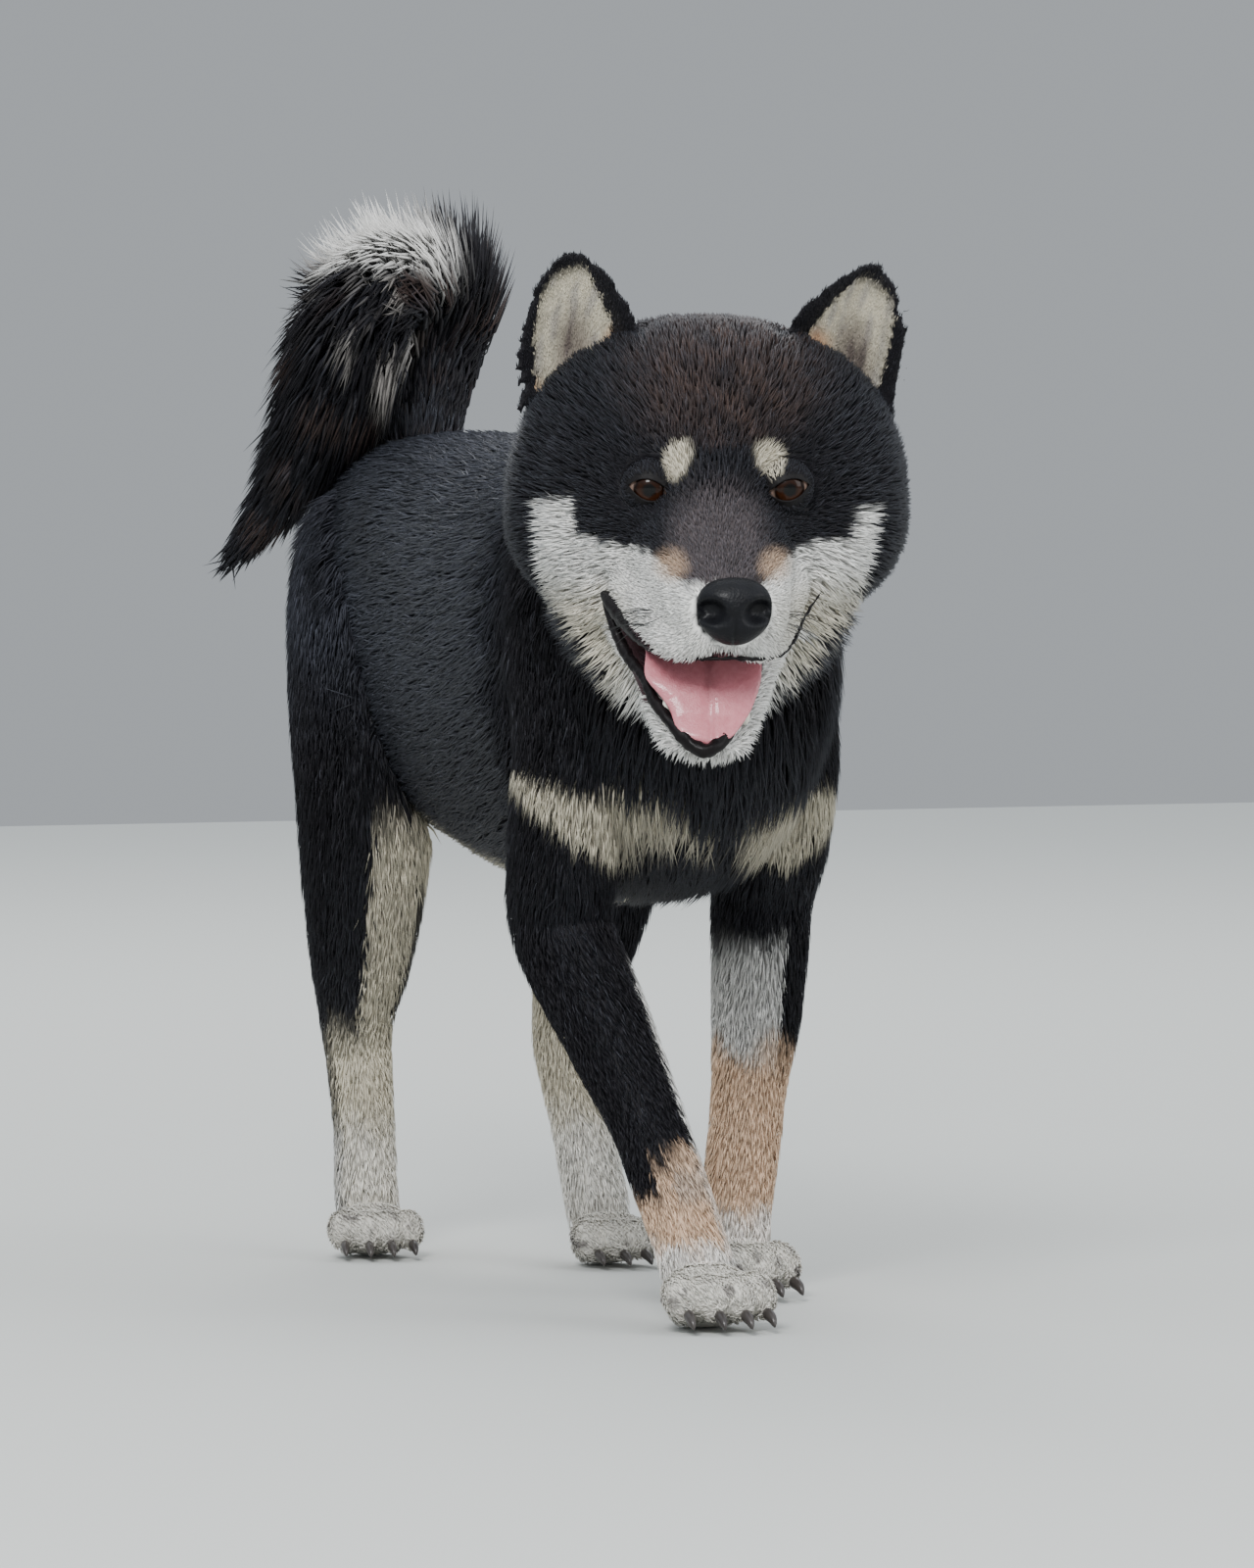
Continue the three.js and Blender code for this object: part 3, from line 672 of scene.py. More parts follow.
# Edges of the white face, seen from in front of the head: its upper and lower line from right to left
faceUpper = (
    (-92, -4), (-75, -4), (-62, -3), (-59, -19), (-50, -22), (-36, -24), (-24, -29), (-12, -40), (23, -41),
    (31, -31), (42, -24), (62, -22), (66, -8), (75, -7), (92, -7),
)
faceLower = (
    (-92, 10), (-81, 4), (-78.5, -16), (-77, -36), (-70, -48), (-58, -68), (-44, -89), (-28, -105),
    (-20, -109), (-15, -113), (-4, -119), (9, -114), (15, -102), (19, -94), (27, -95), (40, -84), (54, -67),
    (66, -50), (72, -31), (75, -12), (77, 4), (92, 10),
)


# An oval's mask: 1 inside and 0 outside, soft by the edge's share of its radius.
def oval(x, z, centre, half, edge=0.25):
    distance = np.hypot((x - centre[0]) / half[0], (z - centre[1]) / half[1])
    return 1 - smoothStep(1 - edge, 1 + edge, distance)


# A colour moved towards a named one by a mask: the one less the mask, and the other times it.
def mixed(colour, name, mask):
    share = np.asarray(mask, float)[:, None]
    return colour * (1 - share) + np.array(tint[name]) * share


# The mouth's lining: points within the wedge of air and a little beyond, between the lips.
def inMouth(local):
    x, y, z = local.T
    upper = np.interp(y, (-142, -85, -60, -46), (-62, -62, -57, -46))
    lower = np.interp(y, (-142, -115, -99, -82, -65, -46), (-104, -104, -90, -78, -68, -46))
    half = np.interp(y, (-124, -110, -88, -66, -48), (0, 22, 33, 41, 48))
    inside = (y < -44) & (z < upper + 2.0) & (z > lower - 3.5) & (np.abs(x + 2) < half)
    x, z = asSeen(local)
    top = np.interp(x, (-46, -37.5, -27.5), (-44, -55.5, -67))
    bottom = np.interp(x, (-46, -38.5, -33, -28), (-46, -69, -81, -93))
    corner = (x > -46) & (x < -26) & (z < top) & (z > bottom) & (y < -38)
    return inside | corner


# Points inside the nose leather: within its ellipsoid, made a little larger.
def underNose(local):
    away = (local - np.array(noseLook["centre"])) / (np.array(noseLook["half"]) * 1.02)
    return (away**2).sum(axis=1) < 1


# A head point as the photograph shows it: moved along the line of sight to the plane of the eyes.
def asSeen(local):
    sight = np.array((0.358, 0.934, -0.0225)) @ headTurn
    depth = local[:, 1] + 58
    return local[:, 0] - sight[0] / sight[1] * depth, local[:, 2] - sight[2] / sight[1] * depth


# Face markings, in the head's frame: brown crown, painted grey sheen on the bridge, brow spots, white face
# and cream cheeks.
def faceColour(colour, local, part):
    y = local[:, 1]
    x, z = asSeen(local)
    ragged = wobble(local, 9, 3) * 1.8 + wobble(local, 4, 4) * 1.0
    front = 1 - smoothStep(8, 34, y)
    crown = oval(x, z, (5, 52), (40, 30), 0.5) * (0.55 + 0.3 * wobble(local, 14, 5))
    colour = mixed(colour, "brown", crown * (z > 20))
    # Painted sheen: the black bridge below and between the eyes lightened to grey where it faces the sky.
    sheenAndGreyMarks = oval(x, z, (3, -22), (21, 26), 0.35) * (y < -45)
    colour = mixed(colour, "sheenAndGreyMarks", sheenAndGreyMarks * 0.85)
    for centre in ((-15, 13.8), (26.3, 13.8)):
        rise = z - centre[1]
        lean = x + 0.2 * np.sign(centre[0]) * rise
        brow = oval(lean + ragged * 0.4, z, centre, (5.9 + 0.16 * rise, 8.8), 0.28)
        colour = mixed(colour, "cream", brow * 0.97 * (y < -20))
    xs, zs = np.array(faceUpper).T
    above = smoothStep(-2.5, 2.5, np.interp(x, xs, zs) - z + ragged)
    xs, zs = np.array(faceLower).T
    below = smoothStep(-2.5, 2.5, z - np.interp(x, xs, zs) + ragged)
    white = above * below * front
    colour = mixed(colour, "white", white)
    dull = smoothStep(26, 48, np.abs(x + 3)) * smoothStep(-32, -58, z)
    colour = mixed(colour, "cream", white * dull * 0.85)
    for centre in ((-17.5, -32), (28, -32)):
        colour = mixed(colour, "tan", oval(x, z, centre, (6.5, 6.5), 0.6) * 0.65 * (y < -50))
    chin = (part == partIndex["jaw"]) & (y < -30)
    colour = mixed(colour, "white", chin * 0.9)
    colour = mixed(colour, "mouth", inMouth(local))
    return mixed(colour, "black", underNose(local))


# Ear markings by the place on the leaf: cream inside with grey streaks, a black rim, a tan base and painted
# shade in its opening.
def earColour(colour, along, around, local, rows):
    back = around > earLook["backMark"] / 2
    u = np.where(back, around - earLook["backMark"], around)
    inside = ~back * rows
    rim = smoothStep(0.52, 0.66, np.abs(u)) + smoothStep(0.66, 0.78, along + 0.1 * u * u)
    middle = np.clip(1 - rim, 0, 1) * inside
    colour = mixed(colour, "cream", middle * 0.95)
    streak = smoothStep(-0.1, 0.7, wobble(local * np.array((2.2, 1, 0.5)), 12, 8))
    colour = mixed(colour, "grey", middle * streak * 0.7 * (1 - smoothStep(0.6, 0.95, np.abs(u))))
    x, z = asSeen(local)
    # Painted shade: the ear's opening darkened to brown-black where shade falls into its hollow.
    shadedOpening = oval(x, z, (-61, 60), (8, 19), 0.6) + oval(x, z, (62, 58), (8, 18), 0.6)
    colour = mixed(colour, "earholeShade", np.clip(shadedOpening, 0, 1) * inside * (0.75 + 0.25 * streak))
    base = sum(oval(x, z, centre, (6, 7.5), 0.6) for centre in ((-41, 66), (46, 64), (-80, 43), (78, 38)))
    return mixed(colour, "orange", np.clip(base, 0, 1) * middle * 0.7)


# Limb markings: height on the leg, and the side of it that faces the other leg.
def limbColour(colour, points, part, around):
    z = points[:, 2] + wobble(points, 16, 12) * 4
    c, s = np.cos(around), np.sin(around)
    shadow = wobble(points, 22, 13)
    rows = part == partIndex["foreRight"]
    inner = smoothStep(0.7, 0.92, -c) * smoothStep(158, 140, z)
    colour = mixed(colour, "white", rows * inner * 0.9)
    low = smoothStep(78, 68, z + 20 * smoothStep(0.3, 0.8, c))
    colour = mixed(colour, "tan", rows * low * (1 - 0.6 * inner))
    colour = mixed(colour, "white", rows * smoothStep(38, 28, z) * 0.9)
    colour = mixed(colour, "grey", rows * oval(c + 0.2, z, (0, 60), (0.5, 9), 0.5) * 0.5 * (s > 0))
    rows = part == partIndex["foreLeft"]
    pale = smoothStep(-0.3, 0.2, c + 0.25 * s) * smoothStep(165, 148, z)
    colour = mixed(colour, "white", rows * pale * 0.72)
    colour = mixed(colour, "tan", rows * smoothStep(118, 98, z + 8 * shadow))
    colour = mixed(colour, "white", rows * smoothStep(44, 30, z) * 0.8)
    rows = part == partIndex["hindRight"]
    inner = smoothStep(-0.35, 0.0, -c + 0.15 * shadow) * smoothStep(215, 190, z)
    dark = smoothStep(0.45, 0.7, -c) * smoothStep(0.1, 0.4, s)
    dark = dark * smoothStep(178, 165, z) * smoothStep(98, 112, z)
    colour = mixed(colour, "cream", rows * inner * (1 - 0.92 * dark))
    low = smoothStep(112, 92, z)
    colour = mixed(colour, "cream", rows * low * (1 - 0.9 * smoothStep(0.35, 0.8, c - 0.9 * s - 0.35)))
    colour = mixed(colour, "white", rows * smoothStep(70, 45, z) * 0.5)
    rows = part == partIndex["hindLeft"]
    inner = smoothStep(0.2, 0.6, c) * smoothStep(225, 195, z)
    colour = mixed(colour, "cream", rows * inner)
    colour = mixed(colour, "cream", rows * low * (1 - 0.9 * smoothStep(0.35, 0.8, -c - 0.9 * s - 0.35)))
    return mixed(colour, "white", rows * smoothStep(80, 50, z) * 0.7)


# Chest patches across the camera's view: how far to the right of it, their upper and their lower line.
chestPatches = {
    "rightUpper": ((-28, 236), (-23, 238), (9, 229), (25, 228), (48, 224), (65, 215), (76, 203)),
    "rightLower": ((-28, 237), (-23, 234), (-4, 217), (9, 204), (30, 196), (41, 203), (52, 208), (76, 204)),
    "leftUpper": ((79, 207), (90, 215), (115, 228), (128, 228), (132, 222)),
    "leftLower": ((79, 208), (90, 199), (106, 191), (122, 204), (132, 223)),
}


# The mask of the chest patches: 1 between an upper and a lower line, soft over a few millimetres.
def chestMask(points, ragged):
    across = 0.934 * points[:, 0] - 0.358 * points[:, 1] + ragged * 0.3
    z = points[:, 2] + ragged * 0.4
    mask = np.zeros(len(points))
    for side in ("right", "left"):
        xs, tops = np.array(chestPatches[f"{side}Upper"]).T
        xl, lows = np.array(chestPatches[f"{side}Lower"]).T
        above = smoothStep(-2.5, 3, np.interp(across, xs, tops, left=0, right=0) - z)
        below = smoothStep(-2.5, 3, z - np.interp(across, xl, lows, left=999, right=999))
        mask = np.maximum(mask, above * below)
    return mask


# All markings at points of the body, with painted sheen on the upper back and on the face's bridge, and
# painted shade in the ears' openings.
def coatColour(points, part, along, around):
    colour = np.tile(np.array(tint["black"]), (len(points), 1))
    local = toHead(points)
    x, y, z = points.T
    ragged = wobble(points, 24, 21) * 5 + wobble(points, 9, 22) * 2
    trunk = part == partIndex["trunk"]
    limb = isPart(part, limbs)
    body = trunk | limb
    front = (y < -125) * (z < 262) * body * np.where(np.abs(x) > 52, smoothStep(-136, -158, y), 1)
    spots = chestMask(points, ragged)
    belly = (1 - smoothStep(26, 44, np.abs(x) + ragged * 0.6)) * smoothStep(222, 196, z) * (y > -120)
    seat = oval(x, z, (0, 285), (26, 40), 0.4) * (y > 175)
    # Painted sheen: the black coat lightened to blue-grey on the upper back and sides, where the sky's light
    # falls.
    upper = smoothStep(225, 300, z) * smoothStep(-150, -70, y) * smoothStep(205, 150, y)
    colour = mixed(colour, "paintedSheen", upper * body * (0.7 + 0.3 * wobble(points, 40, 24)))
    colour = mixed(colour, "cream", np.clip(belly + seat, 0, 1) * trunk * 0.85)
    colour = limbColour(colour, points, part, around)
    colour = mixed(colour, "cream", spots * front * 0.95)
    paw = part == partIndex["paw"]
    colour = mixed(colour, "white", paw * 0.86)
    colour = mixed(colour, "cream", paw * 0.35)
    marks = smoothStep(0.25, 0.75, wobble(points, 9, 25)) * smoothStep(26, 18, z) * smoothStep(5, 9, z)
    colour = mixed(colour, "sheenAndGreyMarks", paw * marks * 0.75)
    head = isPart(part, headParts)
    colour = np.where(head[:, None], faceColour(colour, local, part), colour)
    ear = isPart(part, earParts)
    colour = np.where(ear[:, None], earColour(colour, along, around, local, ear), colour)
    tail = part == partIndex["tail"]
    streak = smoothStep(0.0, 0.7, wobble(points * np.array((1, 0.3, 0.6)), 15, 31))
    top = smoothStep(452, 466, z + ragged) * smoothStep(26, 8, x)
    colour = mixed(colour, "white", tail * np.clip(top * 0.9, 0, 1))
    centre = oval(x, z, (-20, 425), (26, 34), 0.5)
    colour = mixed(colour, "grey", tail * centre * streak * 0.8)
    return mixed(colour, "brown", tail * smoothStep(0.2, 0.8, wobble(points, 30, 33)) * 0.5 * (1 - top))


data = skinData(skin, guides)
data["colour"] = coatColour(data["points"], data["part"], data["along"], data["around"])
print("lie and markings done")


# A colour attribute of the mesh, one for each vertex.
def paint(obj, colours):
    layer = obj.data.color_attributes.new("coat", "FLOAT_COLOR", "POINT")
    values = np.ones((len(colours), 4), np.float32)
    values[:, :3] = np.clip(colours, 0, 1)
    layer.data.foreach_set("color", values.ravel())


# A triangle mesh straight from arrays.
def arrayObject(name, points, triangles):
    mesh = bpy.data.meshes.new(name)
    mesh.vertices.add(len(points))
    mesh.vertices.foreach_set("co", ((points + centring) * unit).astype(np.float32).ravel())
    mesh.loops.add(triangles.size)
    mesh.loops.foreach_set("vertex_index", triangles.astype(np.int32).ravel())
    mesh.polygons.add(len(triangles))
    mesh.polygons.foreach_set("loop_start", np.arange(0, triangles.size, 3, dtype=np.int32))
    mesh.update(calc_edges=True)
    obj = bpy.data.objects.new(name, mesh)
    bpy.context.scene.collection.objects.link(obj)
    return obj


# A material with nodes, its tree and its shader.
def newMaterial(name):
    material = bpy.data.materials.new(name)
    material.use_nodes = True
    tree = material.node_tree
    return material, tree, tree.nodes["Principled BSDF"]


# Fur: the painted colour, lightened and darkened by fine noise, with a soft sheen.
def furMaterial(name, sheen, bump):
    material, tree, shader = newMaterial(name)
    paintNode = tree.nodes.new("ShaderNodeAttribute")
    paintNode.attribute_name = "coat"
    coords = tree.nodes.new("ShaderNodeTexCoord")
    noise = tree.nodes.new("ShaderNodeTexNoise")
    noise.inputs["Scale"].default_value = 160
    noise.inputs["Detail"].default_value = 3
    ramp = tree.nodes.new("ShaderNodeMapRange")
    ramp.inputs["To Min"].default_value = 0.72
    ramp.inputs["To Max"].default_value = 1.25
    scale = tree.nodes.new("ShaderNodeVectorMath")
    scale.operation = "SCALE"
    tree.links.new(coords.outputs["Object"], noise.inputs["Vector"])
    tree.links.new(noise.outputs["Fac"], ramp.inputs["Value"])
    tree.links.new(paintNode.outputs["Color"], scale.inputs[0])
    tree.links.new(ramp.outputs["Result"], scale.inputs["Scale"])
    tree.links.new(scale.outputs["Vector"], shader.inputs["Base Color"])
    shader.inputs["Roughness"].default_value = 0.55
    shader.inputs["Specular IOR Level"].default_value = 0.16
    shader.inputs["Sheen Weight"].default_value = sheen
    shader.inputs["Sheen Roughness"].default_value = 0.4
    shader.inputs["Sheen Tint"].default_value = (0.75, 0.82, 1.0, 1)
    if bump:
        bumpNode = tree.nodes.new("ShaderNodeBump")
        bumpNode.inputs["Strength"].default_value = 0.5
        bumpNode.inputs["Distance"].default_value = 0.0006
        fine = tree.nodes.new("ShaderNodeTexNoise")
        fine.inputs["Scale"].default_value = 900
        tree.links.new(coords.outputs["Object"], fine.inputs["Vector"])
        tree.links.new(fine.outputs["Fac"], bumpNode.inputs["Height"])
        tree.links.new(bumpNode.outputs["Normal"], shader.inputs["Normal"])
    return material


# A moist or horny surface: one colour moved by noise between two shades, with a cell or noise bump.
def wetMaterial(name, dark, light, roughness, scale, depth, coat=0.0, cells=False, shine=0.35):
    material, tree, shader = newMaterial(name)
    coords = tree.nodes.new("ShaderNodeTexCoord")
    noise = tree.nodes.new("ShaderNodeTexNoise")
    noise.inputs["Scale"].default_value = scale * 0.25
    mix = tree.nodes.new("ShaderNodeMix")
    mix.data_type = "RGBA"
    mix.inputs["A"].default_value = (*dark, 1)
    mix.inputs["B"].default_value = (*light, 1)
    texture = tree.nodes.new("ShaderNodeTexVoronoi" if cells else "ShaderNodeTexNoise")
    texture.inputs["Scale"].default_value = scale
    bump = tree.nodes.new("ShaderNodeBump")
    bump.inputs["Strength"].default_value = 0.6
    bump.inputs["Distance"].default_value = depth
    tree.links.new(coords.outputs["Object"], noise.inputs["Vector"])
    tree.links.new(coords.outputs["Object"], texture.inputs["Vector"])
    tree.links.new(noise.outputs["Fac"], mix.inputs["Factor"])
    tree.links.new(mix.outputs["Result"], shader.inputs["Base Color"])
    tree.links.new(texture.outputs["Distance" if cells else "Fac"], bump.inputs["Height"])
    tree.links.new(bump.outputs["Normal"], shader.inputs["Normal"])
    shader.inputs["Roughness"].default_value = roughness
    shader.inputs["Specular IOR Level"].default_value = shine
    shader.inputs["Coat Weight"].default_value = coat
    shader.inputs["Coat Roughness"].default_value = 0.12
    return material


coatMaterial = furMaterial("fur", 0.05, False)
skinMaterial = furMaterial("skin_fur", 0.05, True)
noseMaterial = wetMaterial("nose_leather", (0.002, 0.0021, 0.0026), (0.006, 0.0064, 0.009), 0.5, 900, 0.0003,
                           0.04, True, 0.17)
lipMaterial = wetMaterial("lip", (0.003, 0.0026, 0.003), (0.009, 0.0065, 0.007), 0.45, 500, 0.0005,
                          0.04, False, 0.12)
tongueMaterial = wetMaterial("tongue", (0.44, 0.12, 0.15), (0.62, 0.24, 0.27), 0.38, 1400, 0.0003, 0.3, True)
toothMaterial = wetMaterial("tooth", (0.7, 0.66, 0.55), (0.82, 0.79, 0.7), 0.25, 200, 0.0001, 0.3)
clawMaterial = wetMaterial("claw", (0.014, 0.012, 0.012), (0.06, 0.05, 0.045), 0.35, 300, 0.0002, 0.2)
whiskerMaterial = wetMaterial("whisker", (0.01, 0.01, 0.01), (0.03, 0.03, 0.03), 0.4, 300, 0.0001)


# Gives a piece its material and body.
def placed(obj, material):
    obj.data.materials.clear()
    obj.data.materials.append(material)
    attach(obj, "root")
    return obj


# All faces shaded smooth.
def smoothShaded(obj):
    obj.data.polygons.foreach_set("use_smooth", np.ones(len(obj.data.polygons), bool))
    return obj


# Eyelids: from the almond's edge out to a ring that sinks into the skin, on a dome over the eye
lidLook = {
    "columns": 64, "rows": 12, "outer": 11.6, "upper": 9.4, "lower": 9.2, "edge": (10.4, 11.2, 11.8),
    "corners": (-1.4, 1.6), "tint": (0.005, 0.0042, 0.0045),
}


# The eye's opening: two parabolas, 2t(1 - t) times a height, between its corners.
def almond(count):
    t = np.linspace(0, 1, count // 2, endpoint=False)
    width = eyeAt["width"]
    corner = np.array(((-width, lidLook["corners"][0]), (width, lidLook["corners"][1])))
    upper = np.outer((1 - t) ** 2, corner[0]) + np.outer(t**2, corner[1])
    upper[:, 1] += 2 * t * (1 - t) * lidLook["upper"]
    lower = np.outer((1 - t) ** 2, corner[1]) + np.outer(t**2, corner[0])
    lower[:, 1] -= 2 * t * (1 - t) * lidLook["lower"]
    return np.vstack([upper, lower])


# A lid's surface: from the almond to the outer ring, lifted by the root of the radius squared less
# the square of the distance from the middle.
def lidSurface(side):
    rim = almond(lidLook["columns"])
    angle = np.arctan2(rim[:, 1], rim[:, 0])
    outer = np.column_stack([np.cos(angle), np.sin(angle)]) * lidLook["outer"]
    share = np.concatenate([[0, 0, 0.02], np.linspace(0.08, 1, lidLook["rows"])])
    radius = np.concatenate([lidLook["edge"], np.full(lidLook["rows"], eyeAt["lid"])])
    flat = rim[None] * (1 - share[:, None, None]) + outer[None] * share[:, None, None]
    lift = np.sqrt(np.maximum(radius[:, None] ** 2 - (flat**2).sum(axis=-1), 1.0))
    out, up, gaze = eyeAxes(side)
    points = eyeCentre(side) + flat[..., :1] * out + flat[..., 1:] * up + lift[..., None] * gaze
    count, columns = len(share), lidLook["columns"]
    grid = np.arange(count * columns).reshape(count, columns)
    turned = np.roll(grid, -1, axis=1)
    quads = np.stack([grid[:-1], turned[:-1], turned[1:], grid[1:]], -1).reshape(-1, 4)
    if side > 0:
        quads = quads[:, ::-1]
    return points.reshape(-1, 3), quads


# Both eyes' lids, in black skin.
def makeLids():
    made = []
    for side, name in ((-1, "right"), (1, "left")):
        points, quads = lidSurface(side)
        lid = meshObject(f"eyelids_{name}", fromHead(points), quads[:, ::-1].tolist())
        paint(lid, np.tile(lidLook["tint"], (len(points), 1)))
        made.append(placed(smoothShaded(lid), skinMaterial))
    return made


lids = makeLids()


# Eyes: their colours, and the angles from the gaze at which the pupil and the iris end
eyeLook = {
    "iris": (0.02, 0.0065, 0.0026), "white": (0.22, 0.15, 0.12), "pupil": (0.003, 0.003, 0.003),
    "pupilEnd": (0.24, 0.3), "ring": (0.5, 0.62), "irisEnd": (0.66, 0.78), "rays": 37, "cornea": 0.035,
}


# An eye: a ball whose colour goes by the angle from where it looks: pupil, brown iris with painted shade at
# its top, dark ring and white.
def makeEye(side, name):
    points, faces = ballGrid(48, 64)
    out, up, gaze = eyeAxes(side)
    angle = np.arccos(np.clip(points @ gaze, -1, 1))
    height = points @ up
    bulge = 1 + eyeLook["cornea"] * (1 - smoothStep(0.35, 0.75, angle))
    ball = points * eyeAt["radius"] * bulge[:, None] * 0.985 + eyeCentre(side)
    eye = meshObject(f"eye_{name}_ball", fromHead(ball), faces)
    # Painted shade and light: the iris darker towards its top, under the lid, and lighter towards its bottom.
    colour = np.array(eyeLook["iris"])[None] * (0.75 + 0.9 * smoothStep(0.1, -0.5, height))[:, None]
    turn = np.arctan2(points @ out, points @ up)
    colour = colour * (1 + 0.25 * np.sin(turn * eyeLook["rays"]))[:, None]
    colour = colour * (1 - smoothStep(*eyeLook["ring"], angle) * 0.85)[:, None]
    white = smoothStep(*eyeLook["irisEnd"], angle)[:, None]
    colour = colour * (1 - white) + np.array(eyeLook["white"]) * white
    pupil = (1 - smoothStep(*eyeLook["pupilEnd"], angle))[:, None]
    colour = colour * (1 - pupil) + np.array(eyeLook["pupil"]) * pupil
    paint(eye, colour)
    material, tree, shader = newMaterial(f"eye_{name}")
    node = tree.nodes.new("ShaderNodeAttribute")
    node.attribute_name = "coat"
    tree.links.new(node.outputs["Color"], shader.inputs["Base Color"])
    shader.inputs["Roughness"].default_value = 0.3
    shader.inputs["Specular IOR Level"].default_value = 0.05
    shader.inputs["Coat Weight"].default_value = 0.3
    shader.inputs["Coat Roughness"].default_value = 0.02
    placed(smoothShaded(eye), material)
    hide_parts(f"eye_{name}")


makeEye(-1, "right")
makeEye(1, "left")


# Nose leather: a ball widened at the top, with pits for the nostrils, slits beside them and a groove.
def makeNose():
    points, faces = ballGrid(90, 128)
    y, z = points.T[1:]
    centre = np.array(noseLook["centre"], float)
    shaped = np.sign(points) * np.abs(points) ** 0.88
    shaped[:, 0] *= 0.93 + 0.1 * np.clip(z, -1, 1) - 0.12 * smoothStep(-0.3, -1, z)
    shaped = shaped * np.array(noseLook["half"])
    px, pz = np.abs(shaped[:, 0]), shaped[:, 2]
    front = smoothStep(0.0, -0.4, y)
    pit = np.exp(-(((px - 9.8) / 5.7) ** 2 + ((pz - 1.0 - 0.12 * (px - 9)) / 4.7) ** 2) ** 1.8)
    slit = np.exp(-(((px - 14.6) / 3.4) ** 2 + ((pz + 3.0) / 1.8) ** 2) ** 1.3)
    groove = np.exp(-((shaped[:, 0] / 0.9) ** 2)) * smoothStep(2, -4, pz)
    shaped[:, 1] += front * (noseLook["pit"] * pit + noseLook["slit"] * slit + noseLook["groove"] * groove)
    nose = meshObject("nose_leather", fromHead(shaped + centre), faces)
    placed(smoothShaded(nose), noseMaterial)
    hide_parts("nose")


makeNose()

# Lips: dark tubes along both lines of the mouth, thicker at its corners, with small folds
lipLook = {
    "upper": (3.0, 5.0, 3.0, 1.1, 0.8, 0.7, 0.7, 0.6, 0.5),
    "lower": (1.6, 2.6, 2.2, 2.6, 3.2, 2.6, 1.9, 0.9, 0.6),
    "sides": 18, "rings": 150, "folds": 0.45, "fineFolds": 0.2,
}


# Both lips: tubes along the lines, moved outwards by two wobbles for their folds.
def makeLips():
    surfaces = []
    for line, radii in ((upperLip, lipLook["upper"]), (lowerLip, lipLook["lower"])):
        whole = wholeLip(line)
        sections = [(x, y, z, r, r, r, r) for (x, y, z), r in zip(whole, radii)]
        sides = lipLook["sides"]
        look = {"sides": sides, "rings": lipLook["rings"], "fullness": 2, "across": (0, 0, 1)}
        surface = loft("jaw", sections, look, "head")
        folds = wobble(surface["points"], 5, 41) * lipLook["folds"]
        folds = folds + wobble(surface["points"], 2.4, 42) * lipLook["fineFolds"]
        centre = np.repeat(surface["points"].reshape(-1, sides, 3).mean(axis=1), sides, axis=0)
        surface["points"] = surface["points"] + unitRows(surface["points"] - centre) * folds[:, None]
        surfaces.append(surface)
    lips = meshObject("lips", *joined(surfaces))
    placed(smoothShaded(lips), lipMaterial)


makeLips()

# Tongue: lolling over the lower lip, grooved along its middle, with a step in its right edge
tongueSections = (
    (-2, -44, -57, 22, 22, 3, 3), (-3, -62, -61, 26, 26, 3, 3), (-3.5, -84, -69, 26.5, 24, 3, 3),
    (-4, -96, -78, 27, 23, 3, 3), (-4.5, -101.5, -86, 19.5, 20, 3, 3), (-5, -105, -91.5, 15.5, 17, 2.8, 2.8),
    (-5.5, -109.5, -97, 13.5, 12.5, 2.6, 2.6), (-6, -113.5, -101.5, 8.5, 7, 2.4, 2.4),
)


# The tongue: a loft whose top is lowered by a Gaussian groove and whose sides rise with the square of x.
def makeTongue():
    surface = loft("jaw", tongueSections, {"sides": 72, "rings": 90, "fullness": 2.3, "caps": (0.5, 0.6)})
    local = surface["points"]
    x, y = local.T[:2]
    upper = np.sin(surface["around"]) > 0
    groove = np.exp(-(((x + 4) / 1.5) ** 2)) * 1.9 * smoothStep(-50, -70, y) * upper
    curl = ((x + 4) / 26) ** 2 * 2.0 * smoothStep(-50, -70, y)
    local[:, 2] += curl - groove
    local[:, 1] += 0.6 * groove
    local += unitRows(np.random.default_rng(5).normal(size=local.shape)) * 0.05
    surface["points"] = fromHead(local)
    tongue = meshObject("tongue_flesh", *joined([surface]))
    placed(smoothShaded(tongue), tongueMaterial)
    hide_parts("tongue")


makeTongue()


# Teeth: where the two lower canines and the low row between them stand, and how high they reach
toothLook = {
    "canines": (-22, 12), "canineTop": -81, "canineWidth": 2.6, "width": 1.7,
    "row": ((-14, -90), (-9, -90.5), (-4, -91), (1, -90.5), (6, -90)),
}


# A tooth: three round sections that narrow to 0.8 and 0.25 of the width at its root.
def toothSurface(x, top, neck, width):
    low, high = width * 0.8, width * 0.25
    sections = (
        (x, -97, -96, width, width, width, width), (x, -99, neck, low, low, width * 0.7, width * 0.7),
        (x, -98, top, high, high, high, high),
    )
    return loft("jaw", sections, {"sides": 12, "rings": 10, "fullness": 2}, "head")


# All teeth in one piece.
def makeTeeth():
    look = toothLook
    surfaces = [toothSurface(x, look["canineTop"], -88, look["canineWidth"]) for x in look["canines"]]
    surfaces += [toothSurface(x, top, -93, look["width"]) for x, top in look["row"]]
    teeth = meshObject("teeth", *joined(surfaces))
    placed(smoothShaded(teeth), toothMaterial)


makeTeeth()


